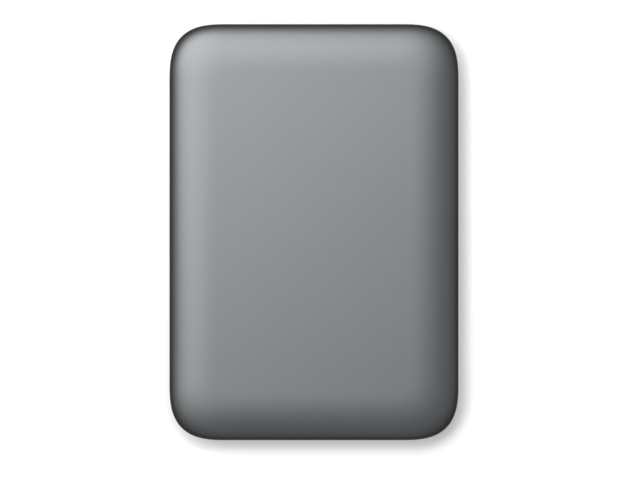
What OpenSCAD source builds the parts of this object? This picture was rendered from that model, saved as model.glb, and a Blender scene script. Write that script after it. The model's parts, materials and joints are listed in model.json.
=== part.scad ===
// Portable external hard drive: a two-shell case around a small disk drive and a bridge board.
// X is the width, Y the length with the port end at +Y, Z is up. All sizes are in mm.

/* [Case] */
// from the drive's side to the outside of the case
side_room = 6.075; // [5.9:0.025:9]
// from the drive's front end to the outside of the case
front_room = 7.8; // [7.6:0.05:11]
// from the drive's underside to the outside of the case
under_room = 3.75; // [3.7:0.05:5]
// from the drive's cover to the outside of the case
over_room = 3.75; // [3.7:0.05:5]
// wall thickness of both shells
wall = 1.6; // [1.5:0.05:1.65]
// how far a corner curve reaches along each side
corner_reach = 16.4; // [13:0.1:16.8]
// squareness of the corner curve, where 2 is a circle
corner_power = 2.92; // [2.8:0.02:3.6]
// how far in from the edge the top starts to roll off
top_roll_w = 11.8; // [9:0.1:12]
// height of the top's roll-off
top_roll_h = 5.6; // [4.5:0.1:5.8]
// how far in from the edge the underside starts to roll off
base_roll_w = 6; // [4:0.1:6.4]
// height of the underside's roll-off
base_roll_h = 4.5; // [3.5:0.1:4.6]
// open line between the two shells
seam_gap = 0.15; // [0.1:0.01:0.3]
// height of the lip that the lower shell puts inside the upper one
lip_h = 1.35; // [1:0.05:1.5]

/* [Feet and holders] */
// diameter of a rubber foot
foot_d = 8; // [6:0.1:10]
// how far a foot stands out of the underside
foot_proud = 0.5; // [0.3:0.05:0.9]
// distance of a foot's middle from the side of the case
foot_inset_x = 13; // [12:0.5:17]
// distance of a foot's middle from the end of the case
foot_inset_y = 15; // [13:0.5:19]
// rubber thickness of a corner bumper beside the drive
bumper_wall = 1.4; // [1:0.1:1.5]
// length of a corner bumper along each side of the drive
bumper_arm = 13; // [10:0.5:16]

/* [Drive body] */
// metal beside the disk chamber at its widest
drive_rim = 1.825; // [1.6:0.025:3]
// air between a disk's edge and the chamber wall
disk_gap = 0.6; // [0.5:0.05:1]
// depth of the plug's notch in the drive's back end
sata_depth = 5.15; // [4.9:0.05:5.6]
// thickness of the pressed cover's rim
cover_t = 0.3; // [0.25:0.05:0.4]
// height of the cover's raised middle above its rim
cover_rise = 0.2; // [0.1:0.05:0.25]
// radius of a cover screw's head
cover_screw_head_r = 1.7; // [1.4:0.05:1.8]

/* [Disks] */
// outside radius of a disk
platter_r = 32.5; // [30:0.05:35]
// thickness of a disk
platter_t = 0.635; // [0.5:0.005:0.66]
// radius of the hub where the disks sit
hub_r = 9.95; // [9.7:0.05:10.3]
// radius of the spindle shaft
spindle_shaft_r = 1.25; // [1.2:0.05:1.4]
// number of stator teeth
stator_teeth = 9; // [6:3:9]

/* [Head stack] */
// thickness of one arm
arm_t = 0.6; // [0.5:0.02:0.64]
// radius of the pivot bearing
pivot_bearing_r = 4; // [3.6:0.05:4.1]
// radius of the fixed pivot shaft
pivot_shaft_r = 2.45; // [2.2:0.05:2.6]
// distance of the pivot from the drive's middle line
pivot_x = 13.5; // [12.5:0.1:14]
// how far past the disk's edge the heads park
park_gap = 1.8; // [1.5:0.05:2]
// innermost radius that the heads read
inner_track_r = 15.5; // [14.6:0.1:20]
// radius of the coil fork's outer edge
fork_r = 17.6; // [17:0.1:18.4]
// height of one head slider
slider_h = 0.25; // [0.2:0.01:0.28]
// coil thickness
coil_t = 0.7; // [0.5:0.05:0.75]
// thickness of each magnet
magnet_t = 0.4; // [0.3:0.05:0.45]

/* [Boards and port] */
// thickness of the bridge board
bridge_board_t = 1; // [0.8:0.05:1.1]
// distance of the bridge board's left and right edges from the middle
bridge_board_half_w = 28; // [26:0.25:30]
// width of the USB socket's shell
usb_w = 12.3; // [12:0.1:12.6]
// height of the USB socket's shell
usb_h = 2.7; // [2.6:0.05:2.8]
// depth of the USB socket
usb_l = 5.7; // [5.4:0.1:5.8]
// margin of the opening in the case around the socket
usb_margin = 0.5; // [0.3:0.05:0.7]
// distance of the status light from the middle
led_x = 15.2; // [14.8:0.1:16]
// thickness of the drive's controller board
drive_board_t = 0.6; // [0.5:0.02:0.64]

/* [Hidden] */
$fn = 64;

// clearances
fit = 0.05;
run = 0.05;
lip_gap = 0.15;

// colours
c_shell = [0.50, 0.52, 0.52];
c_rubber = [0.07, 0.07, 0.08];
c_foam = [0.16, 0.16, 0.17];
c_steel = [0.72, 0.73, 0.74];
c_alu = [0.68, 0.69, 0.70];
c_disk = [0.80, 0.81, 0.83];
c_copper = [0.72, 0.42, 0.22];
c_gold = [0.83, 0.66, 0.30];
c_board = [0.06, 0.26, 0.15];
c_chip = [0.08, 0.08, 0.09];
c_black = [0.09, 0.09, 0.10];
c_clear = [0.86, 0.88, 0.90];

// how the curves of the case are cut up
reach_drop = 0.8;
corner_steps = 12;
roll_steps = 8;
sink = 0.4;

// the drive's heights, from its own underside
base_h = 6.3;
gasket_t = 0.2;
cover_z = base_h + gasket_t;
cover_top_z = cover_z + cover_t + cover_rise;
disk_floor_z = 1;
coil_floor_z = 2.3;
drive_corner_r = 2;

// the plan of the drive, from the middle of its front end
disk_pocket_r = platter_r + disk_gap;
drive_w = 2 * (disk_pocket_r + drive_rim);
spindle_y = drive_w / 2;
block_r = 6.3;
pivot_distance = platter_r + block_r + 4.365;
pivot_y = spindle_y + sqrt(pow(pivot_distance, 2) - pow(pivot_x, 2));
coil_end_y = pivot_y + fork_r + 0.775;
notch_wall = 0.9;
notch_y = coil_end_y + notch_wall;
drive_l = notch_y + sata_depth;

// the swing, from the triangle of spindle, pivot and head
head_reach = pivot_distance - 13.165;
spindle_dir = atan2(spindle_y - pivot_y, -pivot_x);
function reach_angle(r) = acos((pow(pivot_distance, 2) + pow(head_reach, 2) - pow(r, 2))
    / (2 * pivot_distance * head_reach));
park_dir = spindle_dir + reach_angle(platter_r + park_gap);
head_swing = reach_angle(platter_r + park_gap) - reach_angle(inner_track_r);

// the bridge board and port, behind the drive
bridge_gap = 0.55;
socket_rear = 2.2;
tail_l = 0.5;
snap_gap = 0.15;
snap_arm_t = 1;
mouth_inset = 0.8;
back_room = bridge_gap + socket_rear + tail_l + 0.1 + usb_l + mouth_inset;

// the case around the drive
case_w = drive_w + 2 * side_room;
case_l = front_room + drive_l + back_room;
case_h = under_room + cover_top_z + over_room;
base_z = foot_proud;
top_z = base_z + case_h;
floor_z = base_z + wall;
ceiling_z = top_z - wall;
drive_y = -case_l / 2 + front_room;
drive_z = base_z + under_room;
drive_end_y = drive_y + drive_l;
drive_mid_y = drive_y + drive_l / 2;
bridge_board_z = drive_z + 0.95;
bridge_top_z = bridge_board_z + bridge_board_t;
bridge_y0 = drive_end_y + bridge_gap;
bridge_y1 = case_l / 2 - wall - snap_gap - snap_arm_t - 0.25;
usb_y1 = case_l / 2 - mouth_inset;
usb_y0 = usb_y1 - usb_l;
seam_z = bridge_top_z + usb_h / 2;

// the stack of disks and arms, from the drive's underside
platter_1_z = 2.25;
platter_pitch = 2.185;
platter_2_z = platter_1_z + platter_pitch;
stack_top_z = platter_2_z + platter_t;
head_fly = 0.125;
plate_t = 0.1;
plate_1_z = platter_1_z - head_fly - slider_h - plate_t;
plate_2_z = platter_1_z + platter_t + head_fly + slider_h;
plate_3_z = platter_2_z - head_fly - slider_h - plate_t;
plate_4_z = stack_top_z + head_fly + slider_h;
arm_1_z = plate_1_z - arm_t;
arm_2_z = plate_2_z + plate_t;
arm_2_t = plate_3_z - arm_2_z;
arm_3_z = plate_4_z + plate_t;
block_z0 = arm_1_z;
block_z1 = arm_3_z + arm_t;

// the coil motor, from the pivot
coil_mid_z = 3.65;
coil_z = coil_mid_z - coil_t / 2;
frame_t = 0.8;
frame_z = coil_mid_z - frame_t / 2;
yoke_t = 0.4;
upper_yoke_t = 0.8;
lower_yoke_z = coil_floor_z;
lower_magnet_z = lower_yoke_z + yoke_t;
upper_yoke_z = 4.6;
upper_magnet_z = upper_yoke_z - magnet_t;
yoke_r0 = 8.2;
yoke_r1 = fork_r + 0.6;
fork_half = 22;
fork_park = 180 + park_dir;
fork_inner = fork_park - head_swing;
yoke_a0 = fork_inner - 39;
yoke_a1 = fork_park + 36;
magnet_r0 = 8.5;
magnet_r1 = fork_r - 0.1;
magnet_a0 = fork_inner - 22;
magnet_a1 = fork_park + 21;
coil_half = 17;
coil_r0 = 8.8;
coil_r1 = fork_r - 0.7;
latch_r = fork_r + 8.22;
latch_x = pivot_x + latch_r * cos(150.6);
latch_y = pivot_y + latch_r * sin(150.6);

// the controller board, from the drive's underside
board_z = 0.35;
board_top_z = board_z + drive_board_t;
recess_h = 1.7;
board_x = drive_w / 2 - 2.925;
board_y0 = pivot_y - 4.6;
board_y1 = drive_l - 13.15;
board_y2 = drive_l - 2.95;
board_posts = [[4 - board_x, board_y0 + 3.2], [-6, board_y1 + 3.8], [board_x - 4.5, board_y1 + 3.8]];
m3_x = drive_w / 2 - 4.065;
m3_y = [9.75, drive_l - 14];
m3_side_y = [14, drive_l - 9.75];
m3_r = 1.25;
cover_screw_x = drive_w / 2 - 3.625;
cover_screw_y = [3.8, pivot_y - 9.9, drive_l - 3.85];
sata_x0 = -22.6;
sata_w = 35.6;
sata_notch_h = 4.3;
sata_pitch = (sata_w - 0.04) / 28;
power_x0 = sata_x0 + 1.1;
power_pin_x = power_x0 + 1.5;
power_x1 = power_pin_x + 14 * sata_pitch + 1.52;
signal_x1 = sata_x0 + sata_w - 1.1;
signal_pin_x = signal_x1 - 1.68 - 6 * sata_pitch;
signal_x0 = signal_pin_x - 1.7;
tongue_gap = 0.15;
plug_body_l = 2.5;
tongue_l = sata_depth - 2.75;

// snap arms: along the two long sides, then the two ends
snap_w = 5;
snap_drop = 3;
hook_h = 0.9;
hook_t = 0.6;
side_snap_y = [-30, 0, 30];
front_snap_x = [-14, 14];
back_snap_x = [-20.5, 20.5];
pad_x = drive_w / 2 - 12.925;
pad_y = drive_l / 2 - 16;
pad_t = over_room - wall - 0.95;
pad_rib_h = 0.95;
bumper_lip = 1;
bumper_h = 6;
// the two back bumpers stop short of the bridge board
back_arm = drive_w / 2 - bridge_board_half_w - 0.5;
heat_stake_x = bridge_board_half_w - 3.5;
foot_x = case_w / 2 - foot_inset_x;
foot_y = case_l / 2 - foot_inset_y;
rest_rib_x = drive_w / 2 - 5.425;
heat_stake_r = 0.7;

// cuts run this far past the faces they open
eps = 1;

// one quarter of a corner curve, from the side to the end
function corner_arc(a) = [for (i = [0:corner_steps])
    [a * pow(cos(90 * i / corner_steps), 2 / corner_power),
     a * pow(sin(90 * i / corner_steps), 2 / corner_power)]];

// the outline of the case at a given inset from its edge, anticlockwise
function outline(inset) =
    let (a = corner_reach - reach_drop * inset,
         x = case_w / 2 - inset - a,
         y = case_l / 2 - inset - a,
         q = corner_arc(a),
         n = corner_steps)
    concat([for (i = [0:n]) [x + q[i][0], y + q[i][1]]],
           [for (i = [0:n]) [-x - q[n - i][0], y + q[n - i][1]]],
           [for (i = [0:n]) [-x - q[i][0], -y - q[i][1]]],
           [for (i = [0:n]) [x + q[n - i][0], -y - q[n - i][1]]]);

// points of a ring sector around the origin
function sector_points(r0, r1, a0, a1, n) = concat(
    [for (i = [0:n]) let (a = a0 + (a1 - a0) * i / n) [r1 * cos(a), r1 * sin(a)]],
    [for (i = [n:-1:0]) let (a = a0 + (a1 - a0) * i / n) [r0 * cos(a), r0 * sin(a)]]);

// a closed skin through rings of [inset, height], the first and last ring capped
module ring_stack(rings) {
    loops = [for (r = rings) outline(r[0])];
    n = len(loops[0]);
    m = len(rings);
    points = [for (k = [0:m - 1]) for (p = loops[k]) [p[0], p[1], rings[k][1]]];
    sides = [for (k = [0:m - 2]) for (i = [0:n - 1]) for (h = [0, 1])
        let (j = (i + 1) % n, a = k * n + i, b = k * n + j, c = a + n, d = b + n)
        h == 0 ? [a, b, c] : [b, d, c]];
    polyhedron(points = points,
        faces = concat(sides, [[for (i = [n - 1:-1:0]) i]], [[for (i = [0:n - 1]) (m - 1) * n + i]]),
        convexity = 6);
}

// the outer roll-off and the inner one a wall thickness behind it, as [inset, height]
function roll(w, h, z, s, t) = [for (i = [0:roll_steps])
    let (a = 90 * i / roll_steps) [w - (w - t) * cos(a), z + s * (h - t) * sin(a)]];

module rounded(w, l, r) {
    union() {
        square([w - 2 * r, l], center = true);
        square([w, l - 2 * r], center = true);
        for (x = [-1, 1])
            for (y = [-1, 1])
                translate([x * (w / 2 - r), y * (l / 2 - r)])
                    circle(r = r);
    }
}

module box(x0, x1, y0, y1, z0, z1) {
    translate([x0, y0, z0])
        cube([x1 - x0, y1 - y0, z1 - z0]);
}

module in_drive() {
    translate([0, drive_y, drive_z])
        children();
}

module at_spindle() {
    translate([0, drive_y + spindle_y, drive_z])
        children();
}

module at_pivot() {
    translate([pivot_x, drive_y + pivot_y, drive_z])
        children();
}

// the swinging parts are drawn with the heads along +X and turned to the parked direction
module on_arm() {
    at_pivot()
        rotate([0, 0, park_dir])
            children();
}

// an upright slice of the port opening with its corners cut in small flats
module port_cut(half_w, half_h, x) {
    c = half_h * 0.55;
    k = c * 0.3;
    translate([x, case_l / 2 + eps, seam_z])
        rotate([90, 0, 0])
            linear_extrude(height = wall + 2 * eps)
                polygon([[half_w, c - half_h], [half_w, half_h - c], [half_w - k, half_h - k],
                    [half_w - c, half_h], [c - half_w, half_h], [k - half_w, half_h - k],
                    [-half_w, half_h - c], [-half_w, c - half_h], [k - half_w, k - half_h],
                    [c - half_w, -half_h], [half_w - c, -half_h], [half_w - k, k - half_h]]);
}

// one snap arm of the upper shell on the +X side, at y = 0
module snap_arm(edge) {
    x1 = edge - wall - snap_gap;
    z0 = seam_z - snap_drop;
    box(x1 - snap_arm_t, x1, -snap_w / 2, snap_w / 2, z0, ceiling_z - 1.8);
    box(x1 - snap_arm_t, x1 + hook_t, -snap_w / 2, snap_w / 2, z0 + 0.2, z0 + 0.2 + hook_h);
}

// the window in the lower shell that the hook sits in
module snap_window(edge) {
    z0 = seam_z - snap_drop;
    box(edge - wall - 0.3, edge - wall - snap_gap + hook_t + 0.15, -snap_w / 2 - 0.3, snap_w / 2 + 0.3,
        z0, z0 + hook_h + 0.6);
}

module around_case() {
    for (y = side_snap_y)
        for (a = [0, 180])
            rotate([0, 0, a])
                translate([0, y, 0])
                    children(0);
    for (x = front_snap_x)
        translate([x, 0, 0])
            rotate([0, 0, -90])
                children(1);
    for (x = back_snap_x)
        translate([x, 0, 0])
            rotate([0, 0, 90])
                children(1);
}

// the upper shell: crown outside, crown inside, then the rebate that takes the lower shell's lip
module top_cover() {
    z0 = top_z - top_roll_h;
    rim = seam_z + seam_gap / 2;
    color(c_shell)
        difference() {
            union() {
                ring_stack(concat(
                    [for (i = [roll_steps:-1:0]) roll(top_roll_w, top_roll_h, z0, 1, 0)[i]],
                    [[0, rim], [wall / 2, rim], [wall / 2, seam_z + lip_h + lip_gap],
                     [wall, seam_z + lip_h + lip_gap]],
                    roll(top_roll_w, top_roll_h, z0, 1, wall)));
                around_case() {
                    snap_arm(case_w / 2);
                    snap_arm(case_l / 2);
                }
                for (x = [-pad_x, pad_x])
                    for (y = [drive_mid_y - pad_y, drive_mid_y + pad_y]) {
                        box(x - 4, x + 4, y - 0.5, y + 0.5, ceiling_z - pad_rib_h, ceiling_z + sink);
                        box(x - 0.5, x + 0.5, y - 4, y + 4, ceiling_z - pad_rib_h, ceiling_z + sink);
                    }
                for (x = [-9, 9])
                    box(x - 0.4, x + 0.4, 19 - case_l / 2, case_l / 2 - 19, ceiling_z - 0.8, ceiling_z + sink);
                for (y = [-24, 0, 24])
                    box(15 - case_w / 2, case_w / 2 - 15, y - 0.4, y + 0.4, ceiling_z - 0.8,
                        ceiling_z + sink);
            }
            port_cut(usb_w / 2 + usb_margin, usb_h / 2 + usb_margin, 0);
            port_cut(1.15, 0.7, led_x);
        }
}

// the lower shell: rim and lip at the top, roll-off and floor below
module bottom_cover() {
    z0 = base_z + base_roll_h;
    rim = seam_z - seam_gap / 2;
    lip = wall / 2 + lip_gap;
    color(c_shell)
        difference() {
            union() {
                ring_stack(concat(
                    [for (i = [roll_steps:-1:0]) roll(base_roll_w, base_roll_h, z0, -1, wall)[i]],
                    [[wall, seam_z + lip_h], [lip, seam_z + lip_h], [lip, rim], [0, rim]],
                    roll(base_roll_w, base_roll_h, z0, -1, 0)));
                for (x = [-1, 1])
                    for (y = [drive_y + 5, drive_end_y - 5]) {
                        box(x * rest_rib_x - 4, x * rest_rib_x + 4, y - 0.5, y + 0.5, floor_z - sink,
                            drive_z - bumper_lip);
                        box(x * rest_rib_x - 0.5, x * rest_rib_x + 0.5, y - 4, y + 4, floor_z - sink,
                            drive_z - bumper_lip);
                    }
                for (x = [-12, 12])
                    box(x - 0.4, x + 0.4, 15 - case_l / 2, case_l / 2 - 19, floor_z - sink, floor_z + 0.9);
                for (y = [-32, -8, 16])
                    box(13 - case_w / 2, case_w / 2 - 13, y - 0.4, y + 0.4, floor_z - sink, floor_z + 0.9);
                for (x = [-heat_stake_x, heat_stake_x]) {
                    box(x - 1.5, x + 1.5, bridge_y1 - 3.4, bridge_y1 - 0.4, floor_z - sink,
                        bridge_board_z);
                    translate([x, bridge_y1 - 1.9, bridge_board_z - sink])
                        cylinder(r = heat_stake_r, h = bridge_board_t + sink + 0.5, $fn = 24);
                }
            }
            around_case() {
                snap_window(case_w / 2);
                snap_window(case_l / 2);
            }
            port_cut(usb_w / 2 + usb_margin, usb_h / 2 + usb_margin, 0);
            port_cut(1.15, 0.7, led_x);
            for (x = [-foot_x, foot_x])
                for (y = [-foot_y, foot_y])
                    translate([x, y, base_z - eps])
                        cylinder(r = foot_d / 2 + fit, h = eps + 0.5);
        }
}

module feet() {
    color(c_rubber)
        for (x = [-foot_x, foot_x])
            for (y = [-foot_y, foot_y])
                translate([x, y, 0]) {
                    cylinder(r1 = foot_d / 2 - 0.25, r2 = foot_d / 2, h = 0.25);
                    translate([0, 0, 0.25])
                        cylinder(r = foot_d / 2, h = base_z + 0.5 - 0.25);
                }
}

// a rubber cup around one bottom corner of the drive; sx and sy pick the corner
module bumper(sx, sy, end_arm) {
    x0 = drive_w / 2 - end_arm;
    x1 = drive_w / 2 + bumper_wall;
    translate([0, drive_mid_y, 0])
        scale([sx, sy, 1])
            difference() {
                translate([0, 0, drive_z - bumper_lip])
                    linear_extrude(height = bumper_h)
                        intersection() {
                            rounded(drive_w + 2 * bumper_wall, drive_l + 2 * bumper_wall,
                                drive_corner_r + bumper_wall);
                            translate([x0, drive_l / 2 - bumper_arm])
                                square([end_arm + 2 * bumper_wall, bumper_arm + 2 * bumper_wall]);
                        }
                translate([0, 0, drive_z])
                    linear_extrude(height = bumper_h)
                        rounded(drive_w + 2 * fit, drive_l + 2 * fit, drive_corner_r + fit);
                box(x0 - eps, drive_w / 2 - 5, drive_l / 2 - bumper_arm - eps, drive_l / 2 - 5,
                    drive_z - bumper_lip - eps, drive_z + eps);
            }
}

module bumper_front_left() {
    color(c_rubber)
        bumper(-1, -1, bumper_arm);
}

module bumper_front_right() {
    color(c_rubber)
        bumper(1, -1, bumper_arm);
}

module bumper_back_left() {
    color(c_rubber)
        bumper(-1, 1, back_arm);
}

module bumper_back_right() {
    color(c_rubber)
        bumper(1, 1, back_arm);
}

module top_pads() {
    color(c_foam)
        for (x = [-pad_x, pad_x])
            for (y = [drive_mid_y - pad_y, drive_mid_y + pad_y])
                box(x - 5, x + 5, y - 5, y + 5, drive_z + cover_top_z, drive_z + cover_top_z + pad_t);
}

// clear bar from above the status light to the outside of the case
module light_pipe() {
    z0 = seam_z - 0.55;
    color(c_clear)
        union() {
            box(led_x - 1, led_x + 1, bridge_y1 - 2.2, case_l / 2 - 0.1, z0, z0 + 1.1);
            box(led_x - 1.6, led_x + 1.6, bridge_y1 - 1.4, bridge_y1 - 0.1, z0, z0 + 1.6);
            for (s = [-1, 1])
                box(led_x + s * 1.3 - 0.3, led_x + s * 1.3 + 0.3, bridge_y1 - 1.1, bridge_y1 - 0.4,
                    bridge_top_z, z0 + 0.4);
        }
}

module bridge_board() {
    color(c_board)
        difference() {
            translate([0, (bridge_y0 + bridge_y1) / 2, bridge_board_z])
                linear_extrude(height = bridge_board_t)
                    rounded(2 * bridge_board_half_w, bridge_y1 - bridge_y0, 0.6);
            for (x = [-heat_stake_x, heat_stake_x])
                translate([x, bridge_y1 - 1.9, bridge_board_z - eps])
                    cylinder(r = heat_stake_r + fit, h = bridge_board_t + 2 * eps, $fn = 24);
        }
}

module chip(x, y, z, w, l, h) {
    box(x - w / 2, x + w / 2, y - l / 2, y + l / 2, z, z + h);
}

module bridge_chip() {
    color(c_chip)
        chip(bridge_board_half_w - 8.2, bridge_y0 + 2.7, bridge_top_z, 4.6, 4.6, 0.8);
}

module flash_chip() {
    color(c_chip)
        union() {
            chip(-18.6, bridge_y1 - 1.8, bridge_top_z + 0.2, 3.9, 2.2, 1.1);
            for (i = [-1.5:1:1.5])
                chip(-18.6 + i * 1.0, bridge_y1 - 1.8, bridge_top_z, 0.4, 3.2, 0.3);
        }
}

module clock_crystal() {
    color(c_steel)
        chip(-11.5, bridge_y1 - 1.5, bridge_top_z, 3.2, 2.2, 0.7);
}

module status_led() {
    color(c_clear)
        chip(led_x, bridge_y1 - 1.7, bridge_top_z, 1.2, 0.8, 0.55);
}

// the socket's sheet-metal shell with its two bays side by side
module usb_shell() {
    x = usb_w / 2;
    t = 0.25;
    z1 = bridge_top_z + usb_h;
    color(c_steel)
        union() {
            difference() {
                translate([0, usb_y1, bridge_top_z])
                    rotate([90, 0, 0])
                        linear_extrude(height = usb_l)
                            polygon([[-x + 0.6, 0], [x, 0], [x, usb_h], [1.6, usb_h], [1.52, usb_h - 0.35],
                                [1.28, usb_h - 0.35], [1.2, usb_h], [-x + 0.6, usb_h],
                                [-x, usb_h - 0.6], [-x, 0.6]]);
                box(-x + 0.6, 1.05, usb_y0 + t, usb_y1 + eps, bridge_top_z + t, z1 - t);
                box(-x + t, 1.05, usb_y0 + t, usb_y1 + eps, bridge_top_z + 0.6, z1 - 0.6);
                box(1.75, x - t, usb_y0 + t, usb_y1 + eps, bridge_top_z + t, z1 - t);
            }
            for (s = [-1, 1])
                box(s * (x + 0.4) - 0.5, s * (x + 0.4) + 0.5, usb_y0 + 0.6, usb_y0 + 2, bridge_top_z,
                    bridge_top_z + 0.9);
        }
}

module usb_tongue() {
    x = usb_w / 2;
    z1 = bridge_top_z + usb_h;
    color(c_black)
        union() {
            box(-x + 0.65, 1, usb_y0 + 0.3, usb_y0 + 1.5, bridge_top_z + 0.3, z1 - 0.3);
            box(-x + 1.2, 0.3, usb_y0 + 1.4, usb_y1 - 0.7, z1 - 1.25, z1 - 0.65);
            box(1.8, x - 0.3, usb_y0 + 0.3, usb_y0 + 1.5, bridge_top_z + 0.3, z1 - 0.3);
            box(2.3, x - 0.8, usb_y0 + 1.4, usb_y1 - 0.7, z1 - 1.25, z1 - 0.65);
        }
}

module usb_contacts() {
    x = usb_w / 2;
    z = bridge_top_z + usb_h - 1.25;
    color(c_gold)
        union() {
            for (i = [0:4]) {
                box(-x + 1.75 + i * 0.92, -x + 2.1 + i * 0.92, usb_y0 + 1.5, usb_y1 - 0.9, z - 0.08, z);
                box(2.55 + i * 0.57, 2.8 + i * 0.57, usb_y0 + 1.5, usb_y1 - 0.9, z - 0.08, z);
            }
        }
}

// the socket that the drive's plug goes into; it straddles the bridge board's edge
module sata_socket() {
    z0 = drive_z + 1.2;
    z1 = drive_z + 4.1;
    y0 = drive_end_y - sata_depth + plug_body_l + 0.35;
    color(c_black)
        difference() {
            union() {
                box(sata_x0 + 0.3, sata_x0 + sata_w - 0.3, y0, bridge_y0 - 0.1, z0, z1);
                box(sata_x0 + 0.3, sata_x0 + sata_w - 0.3, bridge_y0 - 0.2, bridge_y0 + socket_rear,
                    bridge_top_z, z1);
            }
            box(power_x0 - tongue_gap, power_x1 + tongue_gap, y0 - eps, y0 + tongue_l - 0.1, drive_z + 2.25,
                drive_z + 3.65);
            box(signal_x0 - tongue_gap, signal_x1 + tongue_gap, y0 - eps, y0 + tongue_l - 0.1,
                drive_z + 2.25, drive_z + 3.65);
        }
}

module sata_socket_contacts() {
    y0 = drive_end_y - sata_depth + plug_body_l + 0.35;
    color(c_gold)
        union() {
            for (i = [0:14]) {
                chip(power_pin_x + i * sata_pitch, y0 + 1.2, drive_z + 2.25, 0.5, 2, 0.08);
                chip(power_pin_x + i * sata_pitch, bridge_y0 + socket_rear + tail_l / 2, bridge_top_z, 0.4,
                    tail_l, 0.15);
            }
            for (i = [0:6]) {
                chip(signal_pin_x + i * sata_pitch, y0 + 1.2, drive_z + 2.25, 0.5, 2, 0.08);
                chip(signal_pin_x + i * sata_pitch, bridge_y0 + socket_rear + tail_l / 2, bridge_top_z, 0.4,
                    tail_l, 0.15);
            }
        }
}

// plan of the room inside the drive, grown by the given amount; the screw bosses stay solid
module chamber(grow) {
    difference() {
        union() {
            translate([0, spindle_y])
                circle(r = disk_pocket_r + grow, $fn = 128);
            translate([2.6 - disk_pocket_r - grow, spindle_y + 10 - grow])
                square([2 * disk_pocket_r - 2.8 + 2 * grow, pivot_y - spindle_y - 6 + 2 * grow]);
            translate([6.325 - drive_w / 2 - grow, board_y0 - 0.3])
                square([drive_w - 12.65 + 2 * grow, coil_end_y - board_y0 + 0.3 + grow]);
        }
        for (s = [-1, 1]) {
            for (y = cover_screw_y)
                translate([s * cover_screw_x, y])
                    circle(r = 2.6 - grow);
            translate([s * m3_x, m3_y[1]])
                circle(r = 2.6 - grow);
        }
    }
}

// plan of the controller board, grown by the given amount
module board_plan(grow) {
    difference() {
        union() {
            translate([-board_x - grow, board_y1 - grow])
                square([2 * (board_x + grow), board_y2 - board_y1 + 2 * grow]);
            translate([-board_x - grow, board_y0 - grow])
                square([board_x - 3 + 2 * grow, board_y1 - board_y0 + 1 + 2 * grow]);
        }
        for (s = [-1, 1])
            translate([s * m3_x, m3_y[1]])
                circle(r = 2.8 - grow);
    }
}

module drive_base() {
    color(c_alu)
        in_drive()
            union() {
                difference() {
                    translate([0, drive_l / 2, 0])
                        linear_extrude(height = base_h)
                            rounded(drive_w, drive_l, drive_corner_r);
                    translate([0, 0, disk_floor_z])
                        linear_extrude(height = base_h)
                            intersection() {
                                chamber(0);
                                union() {
                                    translate([-drive_w / 2, 0])
                                        square([drive_w, board_y0 - 0.3]);
                                    translate([-1.8, board_y0 - eps])
                                        square([drive_w / 2, pivot_y + 9.6 - board_y0 + eps]);
                                }
                            }
                    translate([0, 0, coil_floor_z])
                        linear_extrude(height = base_h)
                            chamber(0);
                    translate([0, 0, -eps])
                        linear_extrude(height = eps + board_top_z)
                            board_plan(0.3);
                    translate([0, 0, board_top_z - 0.01])
                        linear_extrude(height = recess_h - board_top_z + 0.01)
                            difference() {
                                board_plan(0.3);
                                for (p = board_posts)
                                    translate(p)
                                        circle(r = 1.6, $fn = 32);
                            }
                    box(sata_x0 - 0.4, sata_x0 + sata_w + 0.4, drive_l - sata_depth, drive_l + eps, -eps,
                        sata_notch_h);
                    translate([0, spindle_y, 0.3])
                        cylinder(r = 3 + fit, h = base_h);
                    translate([pivot_x, pivot_y, 0.4])
                        cylinder(r = pivot_shaft_r + fit, h = base_h);
                    for (p = board_posts)
                        translate([p[0], p[1], 0])
                            cylinder(r = 0.65, h = 2, $fn = 24);
                    for (s = [-1, 1]) {
                        for (y = cover_screw_y)
                            translate([s * cover_screw_x, y, 3.8])
                                cylinder(r = 0.9, h = base_h, $fn = 24);
                        for (y = m3_y)
                            translate([s * m3_x, y, -eps])
                                cylinder(r = m3_r, h = 2.8 + eps, $fn = 32);
                        for (y = m3_side_y)
                            translate([s * (drive_w / 2 - 2.8), y, 3])
                                rotate([0, s * 90, 0])
                                    cylinder(r = m3_r, h = 2.8 + eps, $fn = 32);
                    }
                }
                translate([0, spindle_y, disk_floor_z - 0.2])
                    difference() {
                        cylinder(r = 4.25, h = 2.3);
                        translate([0, 0, -eps])
                            cylinder(r = 3 + fit, h = 5);
                    }
                translate([latch_x, latch_y, coil_floor_z - 0.2])
                    cylinder(r = 0.8, h = 2.5, $fn = 32);
            }
}

// pressed sheet: a rim, a raised middle with a hollow under it and a breather hole
module drive_cover() {
    color(c_steel)
        in_drive()
            difference() {
                union() {
                    translate([0, drive_l / 2, cover_z])
                        linear_extrude(height = cover_t)
                            rounded(drive_w - 0.4, drive_l - 0.4, drive_corner_r);
                    translate([0, drive_l / 2, cover_z])
                        linear_extrude(height = cover_t + cover_rise)
                            rounded(drive_w - 11.85, drive_l - 12.35, 8);
                }
                translate([0, drive_l / 2, cover_z - eps])
                    linear_extrude(height = eps + cover_rise)
                        rounded(drive_w - 12.85, drive_l - 13.35, 7.5);
                translate([0, spindle_y, cover_top_z - 0.12])
                    difference() {
                        cylinder(r = 11, h = eps);
                        translate([0, 0, -eps])
                            cylinder(r = 9.5, h = 3 * eps);
                    }
                translate([pivot_x, pivot_y, cover_top_z - 0.15])
                    cylinder(r = 2.4, h = eps);
                translate([-21, pivot_y + 2, cover_z - eps])
                    cylinder(r = 0.6, h = 3 * eps, $fn = 24);
                for (s = [-1, 1])
                    for (y = cover_screw_y)
                        translate([s * cover_screw_x, y, cover_z - eps])
                            cylinder(r = 1, h = 3 * eps, $fn = 24);
            }
}

module cover_gasket() {
    color(c_foam)
        in_drive()
            translate([0, 0, base_h])
                linear_extrude(height = gasket_t)
                    difference() {
                        chamber(0.9);
                        chamber(0.15);
                    }
}

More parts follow.
